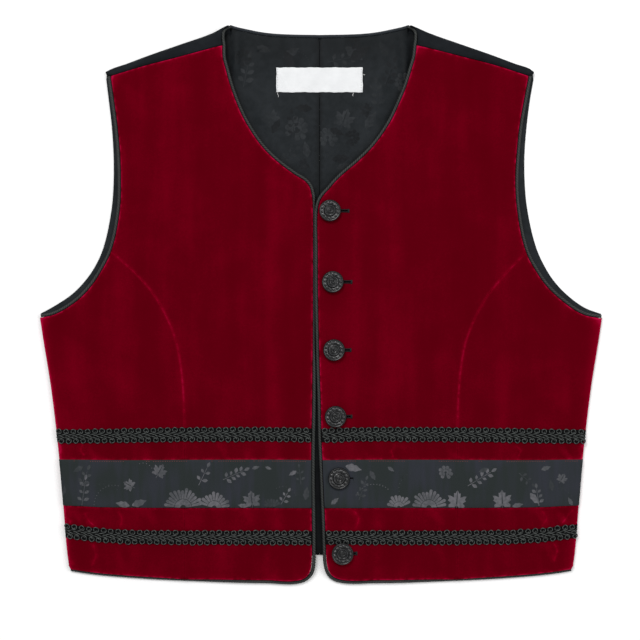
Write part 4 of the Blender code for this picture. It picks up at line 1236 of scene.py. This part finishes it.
def trim_lines(side, outline):
    """Lines of the velvet's mesh beside the band and along sharp creases, which give the painted sheen there
    crisp edges.
    """
    low, high = outline[:, 0].min(), outline[:, 0].max()
    across = np.arange(low, high, 3.0)
    border = np.vstack([outline, outline[:1]])
    lines = []
    for column, way in BAND_EDGES:
        for away in (-1.1, 0.4, 1.6, 3.2):
            line = np.column_stack([across, table_at(TRIMS, column, np.abs(across)) + way * away])
            kept = inside(outline, line) & (distance_to(border, line) > 3.2)
            lines.append((line[kept], False))
    for crease in sharp_lines(side, 2.0):
        for away in (-1.1, 0.0, 1.1):
            line = shifted(crease, away)
            kept = inside(outline, line) & (distance_to(border, line) > 2.6)
            lines.append((line[kept], False))
    return lines


def make_front(side):
    """Centre and side panel of a front, which meet at the princess seam."""
    word = WORDS[side]
    step = FRONT_STEP

    def heights(points):
        return front_heights(side, points)

    edge, split = velvet_armhole(side, step)
    seam = shoulder_seam(side, step, -HALF_GAP)[1:]
    free = free_edge(side, step)
    free[0] = free[0] - shoulder_normal(side) * HALF_GAP
    inner = princess(side, step, -PRINCESS_HALF_GAP)
    inner[-1] = (side * (PRINCESS_HEM[0] - PRINCESS_HALF_GAP), PRINCESS_HEM[1])
    centre = np.vstack([free[:-1], inner[::-1], edge[1:split][::-1], seam[::-1]])
    outer = princess(side, step, PRINCESS_HALF_GAP)
    outer[-1] = (side * (PRINCESS_HEM[0] + PRINCESS_HALF_GAP), PRINCESS_HEM[1])
    hem_rows = [PRINCESS_HEM, *(row[:2] for row in HEM[2:]), *HEM_CORNER]
    hem = smooth_path([(side * x, y) for x, y in hem_rows], step)[1:]
    rolled = side_seam(side, step)
    flank = np.vstack([outer, hem, rolled[::-1], edge[split + 1:][::-1]])
    rings = [(shifted(rolled, -side * depth)[2:-2], False) for depth in ROLL_DEPTHS]
    holes = [buttonhole(*button) for button in BUTTONS] if side == LEFT else []
    for part, outline, slots, lines in (("centre", centre, holes, []), ("side", flank, [], rings)):
        border = np.vstack([outline, outline[:1]])
        # The velvet's two point values carry painted sheen and painted light by slope into its colour
        piece = cloth("velvet_" + word + "_" + part, outline, heights, VELVET_GRID, [VELVET, FACING],
                      "velvet", holes=slots, lines=lines + trim_lines(side, outline), roundness=1.2,
                      values={"pile": painted_pile_sheen_of(side, border), "painted_lean_light": painted_lean_light_of(side)},
                      ring_shares=(0.12, 0.4, 1.0, 1.9), flush=princess(side, step, 0.0))
        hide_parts("front_" + word + "_" + part)
        declare_cloth(outline)


# Bands and braids

def closing_x(side, heights):
    """Place of a front's closing edge at each height."""
    rows = np.array(FRONT_EDGE)[::-1]
    return np.interp(heights, rows[:, 0], rows[:, 1 if side == RIGHT else 2])


def strip_outline(side, top_edge, bottom_edge, step):
    """Edge of a trim between two lines across a front, from the closing edge to the side seam."""
    seam = SEAMS[side][::-1]
    start = np.array([(closing_x(side, y) - side * TRIM_PAST, y)
                      for y in (bottom_edge(TRIM_START), top_edge(TRIM_START))])
    ends = []
    for line in (bottom_edge, top_edge):
        y = line(TRIM_END)
        ends.append((np.interp(y, seam[:, 1], seam[:, 0]), y))

    def along(line, first, last):
        count = int(abs(last[0] - first[0]) / step)
        across = first[0] + (last[0] - first[0]) * np.arange(count + 1) / count
        return np.column_stack([across, line(np.abs(across))])

    closing = straight(start[0], start[1], step)
    rolled = straight(ends[1], ends[0], step)
    rolled[:, 0] = np.interp(rolled[:, 1], seam[:, 1], seam[:, 0])
    return np.vstack([along(top_edge, start[1], ends[1]), rolled, along(bottom_edge, start[0], ends[0])[::-1],
                      closing])


def roll_lines(side, low, high, step):
    """Points just inside the side seam, where a trim turns down with the velvet."""
    seam = side_seam(side, step)
    lines = []
    for depth in ROLL_DEPTHS:
        line = shifted(seam, -side * depth)
        lines.append((line[(line[:, 1] > low + 1.2) & (line[:, 1] < high - 1.2)], False))
    return lines


def make_strip(name, side, top_edge, bottom_edge, thick, materials, slot, **options):
    """Trim that lies on a front between two lines, with its outline."""
    outline = strip_outline(side, top_edge, bottom_edge, TRIM_STEP)
    lines = roll_lines(side, bottom_edge(TRIM_END), top_edge(TRIM_END), TRIM_STEP)

    def heights(points):
        low = front_top(side, points) + TRIM_REST
        return low, low + thick

    piece = cloth(name, outline, heights, TRIM_GRID, materials, slot, lines=lines, **options)
    return piece, outline


def make_band(side):
    """Figured band across a front. The left one has the fifth buttonhole."""
    word = WORDS[side]
    holes = [buttonhole(*BUTTONS[4])] if side == LEFT else []
    figures = [figures_of(table[side]) for table in (BAND_FIGURES, BAND_SHADOW_FIGURES)]
    piece, outline = make_strip("figured_band_" + word, side, lambda x: table_at(TRIMS, BAND_TOP, x),
                                lambda x: table_at(TRIMS, BAND_BOTTOM, x), BAND_THICK,
                                [BAND, BAND, BAND_FIGURE, BAND_SHADOW_FIGURE], "band", holes=holes,
                                roundness=0.5, figures=figures, figure_rise=0.06)
    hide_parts("band_" + word)
    declare_cloth(outline)


def gimp_unit():
    """One loop of gimp: a tail along the braid's middle, then a ring that curls in on itself."""
    rows = [(-7.8, 0.0, 0.9), (-5.3, 0.7, 1.2), (-2.8, 1.4, 1.4)]
    for angle, reach in ((-95, 1.0), (-50, 1.0), (-5, 1.0), (40, 1.0), (85, 1.0), (130, 1.0), (175, 0.98),
                         (215, 0.86), (255, 0.66), (300, 0.5), (350, 0.4)):
        turn = math.radians(angle)
        radius = RING_RADIUS * reach
        rows.append((radius * math.cos(turn), RING_MIDDLE + radius * math.sin(turn), 1.25))
    return smooth_path(rows, 1.15)


def make_braid(side, level, column, rng):
    """Gimp braid: two rows of rings with their tails laid as a feather, on a narrow tape."""
    word = WORDS[side]

    def middle(x):
        return table_at(TRIMS, column, np.abs(x))

    tape, outline = make_strip("gimp_tape_" + level + "_" + word, side, lambda x: middle(x) + TAPE_HALF,
                               lambda x: middle(x) - TAPE_HALF, TAPE_THICK, [GIMP_TAPE], "braid",
                               roundness=0.25)
    low, high = outline[:, 0].min() + 0.4, outline[:, 0].max() - 0.4
    unit = gimp_unit()
    paths = []
    count = round((high - low - 2 * RING_RADIUS) / RING_PITCH)
    pitch = (high - low - 2.3 * RING_RADIUS) / (count + 0.35)
    for row in (1, -1):
        first = low + 1.15 * RING_RADIUS + (0.0 if row == 1 else 0.35 * pitch)
        for place in first + pitch * np.arange(count + 2):
            shape = unit.copy()
            shape[:, :2] *= 1.0 + rng.uniform(-0.05, 0.05)
            shape[:, 1] += rng.uniform(-0.15, 0.15)
            shape[:, 0] += place + rng.uniform(-0.3, 0.3)
            past = np.flatnonzero(shape[:, 0] > high)
            shape = shape[:past[0]] if len(past) else shape
            shape = shape[shape[:, 0] > low]
            if len(shape) < 3:
                continue
            centre = np.column_stack([shape[:, 0], middle(shape[:, 0]) + row * shape[:, 1]])
            height = front_top(side, centre) + shape[:, 2] * (1.0 + 0.06 * row)
            paths.append(np.column_stack([centre, height]))
    cords = [cord(path, GIMP_RADIUS, 8, 2.2, 2, 0.1) for path in paths]
    piece = make_cords("gimp_" + level + "_" + word, cords, GIMP)
    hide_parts("braid_" + level + "_" + word)
    declare_cloth(outline)


# Piping

def make_piping(name, node, path, radii, material=PIPING, depth=0.24):
    """Twisted cord along a path, in place of a node."""
    piece = make_cords(name, [cord(path, radii, 14, TWIST, STRANDS, depth)], material)
    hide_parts(node)


def hem_share(side, edge):
    """How far each point of the piping has turned from the closing edge, 0, to the hem, 1."""
    high, low = CORNER[side][0][1] + HEM_TURN, CORNER[side][2][1]
    share = 1.0 - ease((edge[:, 1] - low) / (high - low))
    share[(np.abs(edge[:, 0]) > HEM_START) & (edge[:, 1] < 0.0)] = 1.0
    return share


def front_piping(side):
    """Cord from the neck point down the neckline, the closing edge and round the corner along the hem."""
    rows = front_rows(side) + [(side * row[0], row[1]) for row in HEM[2:] + HEM_CORNER[:1]]
    edge = smooth_path(rows, CORD_STEP)
    y = edge[:, 1]
    hem_part = hem_share(side, edge)
    tuck = np.where(hem_part == 1.0, ease((np.abs(edge[:, 0]) - 22.0) / 40.0), 0.0)
    hidden = np.zeros(len(y))
    if side == RIGHT:
        hidden = ease((HIDDEN_TOP - y) / 8.0) * ease((y - HIDDEN_END) / 34.0)
    radius = PIPING_RADIUS + ease((-40.0 - y) / 60.0) * (CLOSING_PIPING_RADIUS[side] - PIPING_RADIUS)
    radius = radius + hidden * (HIDDEN_PIPING_RADIUS - radius)
    along_hem = ease((np.abs(edge[:, 0]) - CORNER_SWELL_END) / CORNER_SWELL_END)
    hem_radius = HEM_PIPING_RADIUS + CORNER_SWELL * (1.0 - along_hem)
    radius = radius + hem_part * (hem_radius - radius)
    outset = radius + 0.2
    outset = outset + tuck * (table_at(HEM, 2, np.abs(edge[:, 0])) - outset)
    height = FRONT_LOW + front_lift(side, edge) + radius
    if side == LEFT:
        height += 0.75 * ease((105.0 - y) / 14.0) * ease((y - HIDDEN_END) / 40.0)
    else:
        height -= 0.35 * hidden
    height += hem_part * (hem_radius + SEAM_GAP - height)
    height += ease((y - SHOULDER_CORD_FROM) / 7.0) * (SHOULDER_CORD_HEIGHT - height)
    place = edge - side * normals(edge) * outset[:, None]
    return np.column_stack([place, height]), radius


def make_pipings():
    """Cord along the fronts' edges, the armholes and the back of the neck."""
    for side, word in WORDS.items():
        make_piping("cord_front_" + word, "piping_front_" + word, *front_piping(side))
        path = armhole(side, CORD_STEP)
        line = shifted(path, -side * (path[:, 2] - PIPING_RADIUS - 0.25))[3:]
        height = np.full(len(line), LINING_HIGH + SEAM_GAP + PIPING_RADIUS)
        make_piping("cord_armhole_" + word, "piping_armhole_" + word, np.column_stack([line, height]),
                    PIPING_RADIUS)
    half = smooth_path(BACK_NECK, CORD_STEP)
    line = np.vstack([half[::-1] * (-1, 1), half[1:]]) + (NECK_CENTRE, 0.0)
    line = shifted(line, PIPING_RADIUS + 0.08)
    height = np.full(len(line), PIPING_RADIUS + SEAM_GAP)
    make_piping("cord_back_neck", "piping_back_neck", np.column_stack([line, height]), PIPING_RADIUS,
                NECK_EDGE_CLOTH, 0.06)


# Buttons

def face_relief(radius, angle):
    """Cast relief of a button's face: plain rim, buds, an open ring and a curled boss."""
    rim = 0.3 * np.exp(-((radius - 9.1) / 0.45) ** 2)
    buds = 0.75 * np.abs(np.cos(6.5 * angle)) ** 1.2 * np.exp(-((radius - 7.2) / 0.8) ** 2)
    uneven = 0.7 + 0.3 * np.cos(3 * angle + 0.7) * np.cos(2 * radius)
    opening = 1.0 - 0.9 * np.exp(-((np.mod(angle - 1.0, 2 * math.pi) - math.pi) / 0.6) ** 2)
    ring = 0.8 * opening * np.exp(-((radius - 4.5) / 0.55) ** 2)
    groove = -0.35 * np.exp(-((radius - 5.7) / 0.4) ** 2) - 0.35 * np.exp(-((radius - 3.3) / 0.45) ** 2)
    curl = 0.4 * np.cos(2 * math.pi * radius / 2.6 - angle) * np.exp(-(radius / 2.5) ** 4)
    return rim + buds * uneven + ring + groove + curl


def make_button(number, x, y, rng):
    """Shank button with a cast face, tilted a little."""
    sides = BUTTON_SIDES
    top = float(front_top(LEFT, (x, y))[0]) + BUTTON_RISE
    face = np.array(FACE_PROFILE)
    rims = np.r_[np.linspace(0.25, 9.5, 44), 9.65, 9.8]
    angle = 2 * math.pi * np.arange(sides) / sides
    turn = rng.uniform(0, 2 * math.pi)
    rings, relief = [], []
    underside = ((SHANK_RADIUS, UNDERLAP_HIGH + SEAM_GAP - top), (SHANK_RADIUS, -0.2),
                 (SHANK_RADIUS + 0.5, 0.0), (BUTTON_RADIUS - 1.6, 0.05), (BUTTON_RADIUS - 0.6, 0.25),
                 (BUTTON_RADIUS, 0.8))
    for radius, height in underside:
        rings.append((np.full(sides, radius), np.full(sides, height)))
        relief.append(np.zeros(sides))
    for radius in rims[::-1]:
        raised = face_relief(np.full(sides, radius), angle + turn) * min(1.0, (BUTTON_RADIUS - radius) / 0.4)
        rings.append((np.full(sides, radius), np.interp(radius, face[:, 0], face[:, 1]) + raised))
        relief.append(np.clip(raised / 0.6, 0, 1))
    tilt = rng.uniform(-0.018, 0.018, 2)
    points = []
    for radii, heights in rings:
        px, py = radii * np.cos(angle), radii * np.sin(angle)
        tipped = np.where(radii > 3, px * tilt[0] + py * tilt[1], 0)
        points.append(np.column_stack([x + px, y + py, top + heights + tipped]))
    first, last = len(rings) * sides, len(rings) * sides + 1
    crown = top + FACE_PROFILE[0][1] + face_relief(np.zeros(1), turn)[0]
    points = np.vstack(points + [[(x, y, points[0][0, 2])], [(x, y, crown)]])
    k = np.arange(sides)
    after = (k + 1) % sides
    faces = []
    for ring in range(len(rings) - 1):
        low = ring * sides
        faces += np.column_stack([low + k, low + after, low + sides + after, low + sides + k]).tolist()
    faces += np.column_stack([np.full(sides, first), after, k]).tolist()
    base = (len(rings) - 1) * sides
    faces += np.column_stack([base + k, base + after, np.full(sides, last)]).tolist()
    # The relief values drive the glaze's painted highlight, with 0.6 at the crown
    values = {"relief": np.concatenate(relief + [[0.0, 0.6]])}
    piece = make_object("cast_button_%d" % number, points, faces, [BUTTON], values=values)
    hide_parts("button_%d" % number)


# Stitches and label

def stitch(points, radius=0.22, sides=6):
    """Short run of thread, thinner at both ends."""
    path = smooth_path(points, 0.35)
    t = np.linspace(0, 1, len(path))
    return cord(path, radius * (0.45 + 0.55 * np.sin(math.pi * t) ** 0.5), sides)


def make_stitches(rng):
    """Buttonhole stitches with a bar across each end, and the band's top stitching."""
    bars = []
    for x, y, end in BUTTONS:
        for place in np.arange(x + 3.0, end + 0.2, 0.62):
            for way in (1, -1):
                spots = np.array([(place, y + way * 0.35), (place + 0.1, y + way * 1.0),
                                  (place + rng.uniform(-0.1, 0.1), y + way * 1.6)])
                rise = front_top(LEFT, spots) + np.array((-0.15, 0.28, 0.1))
                bars.append(stitch(np.column_stack([spots, rise]), 0.3))
        for offset in (0.0, 0.5, 1.0):
            spots = np.array([(end + offset, y + way) for way in (-1.9, -0.6, 0.6, 1.9)])
            rise = front_top(LEFT, spots) + np.array((0.0, 0.4, 0.4, 0.0))
            bars.append(stitch(np.column_stack([spots, rise]), 0.32))
    make_cords("buttonhole_stitches", bars, THREAD)

    runs = []
    for side in WORDS:
        reach = 0.0
        for half in np.arange(14.0, 232.0, 2.1):
            reach = 0.7 * reach + 0.3 * rng.uniform(-1, 1)
            if math.sin(half * 0.11 + side) + 2.2 * reach < -0.25:
                continue
            across = half + np.array((-0.55, -0.2, 0.2, 0.55))
            spots = np.column_stack([side * across, table_at(TRIMS, 2, across) - 1.3 + 0.2 * reach])
            rise = front_top(side, spots) + TRIM_REST + BAND_THICK + np.array((-0.05, 0.16, 0.16, -0.05))
            runs.append(stitch(np.column_stack([spots, rise]), 0.28))
    make_cords("band_stitches", runs, RED_THREAD)


def make_label(rng):
    """Bare woven tape, its short ends turned under and stitched down."""
    (width, height), (x, y) = LABEL_SIZE, LABEL_CENTRE
    corners = np.array([(x + sx * width / 2, y + sy * height / 2)
                        for sx, sy in ((-1, -1), (1, -1), (1, 1), (-1, 1))])
    rows = []
    for corner, after in zip(corners, np.roll(corners, -1, axis=0)):
        side = np.vstack([corner, straight(corner, after, 2.0)])
        out = np.array([after[1] - corner[1], corner[0] - after[0]]) / np.linalg.norm(after - corner)
        run = np.linalg.norm(side - corner, axis=1)
        wave = 0.16 * np.sin(0.31 * run + corner[0]) + 0.12 * np.sin(0.83 * run + corner[1]) - 0.1
        wave[0] = 0.0
        rows.append(side + out * wave[:, None])
    outline = np.vstack(rows)

    def heights(points):
        end = width / 2 - np.abs(points[:, 0] - x)
        folded = 0.35 * ease((4.0 - end) / 1.2)
        pucker = 0.12 * np.sin(points[:, 0] * 0.9) * np.exp(-(height / 2 - np.abs(points[:, 1] - y)) / 2.0)
        low = LINING_HIGH + 0.3 + lining_height(points).clip(0)
        return low, low + 0.5 + folded + pucker

    label = cloth("woven_label", outline, heights, LABEL_GRID, [LABEL], "label", roundness=0.3)
    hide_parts("label")
    threads_made = []
    for end in (-1, 1):
        for row in np.arange(-9.4, 9.6, 2.35):
            spots = np.array([(x + end * (width / 2 - 1.5 + 0.2 * k), y + row + step)
                              for k, step in ((0, -0.7), (1, -0.2), (1, 0.2), (0, 0.7))])
            high = heights(spots)[1] + (0.0, 0.14, 0.14, 0.0)
            threads_made.append(stitch(np.column_stack([spots, high]), 0.16))
    for foot, tail in LOOSE_THREADS:
        spots = np.array([foot] + [(foot[0] + dx, foot[1] + dy) for dx, dy in tail]) + (x, y)
        high = LINING_HIGH + lining_height(spots).clip(0) + np.array((0.9, 0.7, 0.45, 0.35))
        threads_made.append(stitch(np.column_stack([spots, high]), 0.28))
    threads_piece = make_cords("label_threads", threads_made, WHITE_THREAD)
    declare_cloth(outline)


# Stage

def make_camera(scene):
    """Camera straight over the waistcoat."""
    camera = bpy.data.cameras.new("camera")
    camera.lens, camera.sensor_width = LENS, SENSOR
    camera_object = bpy.data.objects.new("camera", camera)
    height = VIEW_WIDTH * LENS / SENSOR + CLOTH_HEIGHT
    camera_object.location = (VIEW_CENTRE[0] * MM, VIEW_CENTRE[1] * MM, height * MM)
    scene.collection.objects.link(camera_object)
    scene.camera = camera_object


def make_floor(scene):
    """White paper just under the waistcoat."""
    mesh = bpy.data.meshes.new("floor")
    corners = [(x * FLOOR_HALF, y * FLOOR_HALF, FLOOR_DEPTH) for x, y in ((-1, -1), (1, -1), (1, 1), (-1, 1))]
    mesh.from_pydata(corners, [], [(0, 1, 2, 3)])
    material = new_material("floor_paper", 0.9, 0.1)
    tone = spread(material, noise(material, 3.0), 0.3, 0.7)
    colour = ramp(material, tone, ((0.0, (0.95, 0.95, 0.95)), (1.0, (0.97, 0.97, 0.97))))
    finish_material(material, colour, noise(material, 400.0), 0.02)
    mesh.materials.append(material)
    floor = bpy.data.objects.new("floor", mesh)
    scene.collection.objects.link(floor)


def make_lights(scene):
    """Pale even surroundings and two soft lamps that look at the origin."""
    world = bpy.data.worlds.new("studio")
    world.use_nodes = True
    background = world.node_tree.nodes["Background"]
    background.inputs["Color"].default_value = (1.0, 1.0, 1.0, 1.0)
    background.inputs["Strength"].default_value = SURROUND_STRENGTH
    scene.world = world
    for name, place, size, power in LIGHTS:
        light = bpy.data.lights.new(name, "AREA")
        light.size, light.energy = size, power
        lamp = bpy.data.objects.new(name, light)
        lamp.location = place
        lamp.rotation_euler = (-Vector(place)).to_track_quat("-Z", "Y").to_euler()
        scene.collection.objects.link(lamp)


def build():
    """Stage and pieces, in the order in which the random numbers are drawn."""
    rng = np.random.default_rng(7)
    scene = bpy.context.scene
    scene.view_settings.view_transform = "Standard"
    make_camera(scene)
    make_floor(scene)
    make_lights(scene)
    for side in WORDS:
        make_back(side)
    make_underlap()
    for side in WORDS:
        make_front(side)
        make_band(side)
        make_braid(side, "upper", UPPER_BRAID, rng)
        make_braid(side, "lower", LOWER_BRAID, rng)
    make_pipings()
    for number, (x, y, _) in enumerate(BUTTONS, 1):
        make_button(number, x, y, rng)
    make_stitches(rng)
    make_label(rng)


build()
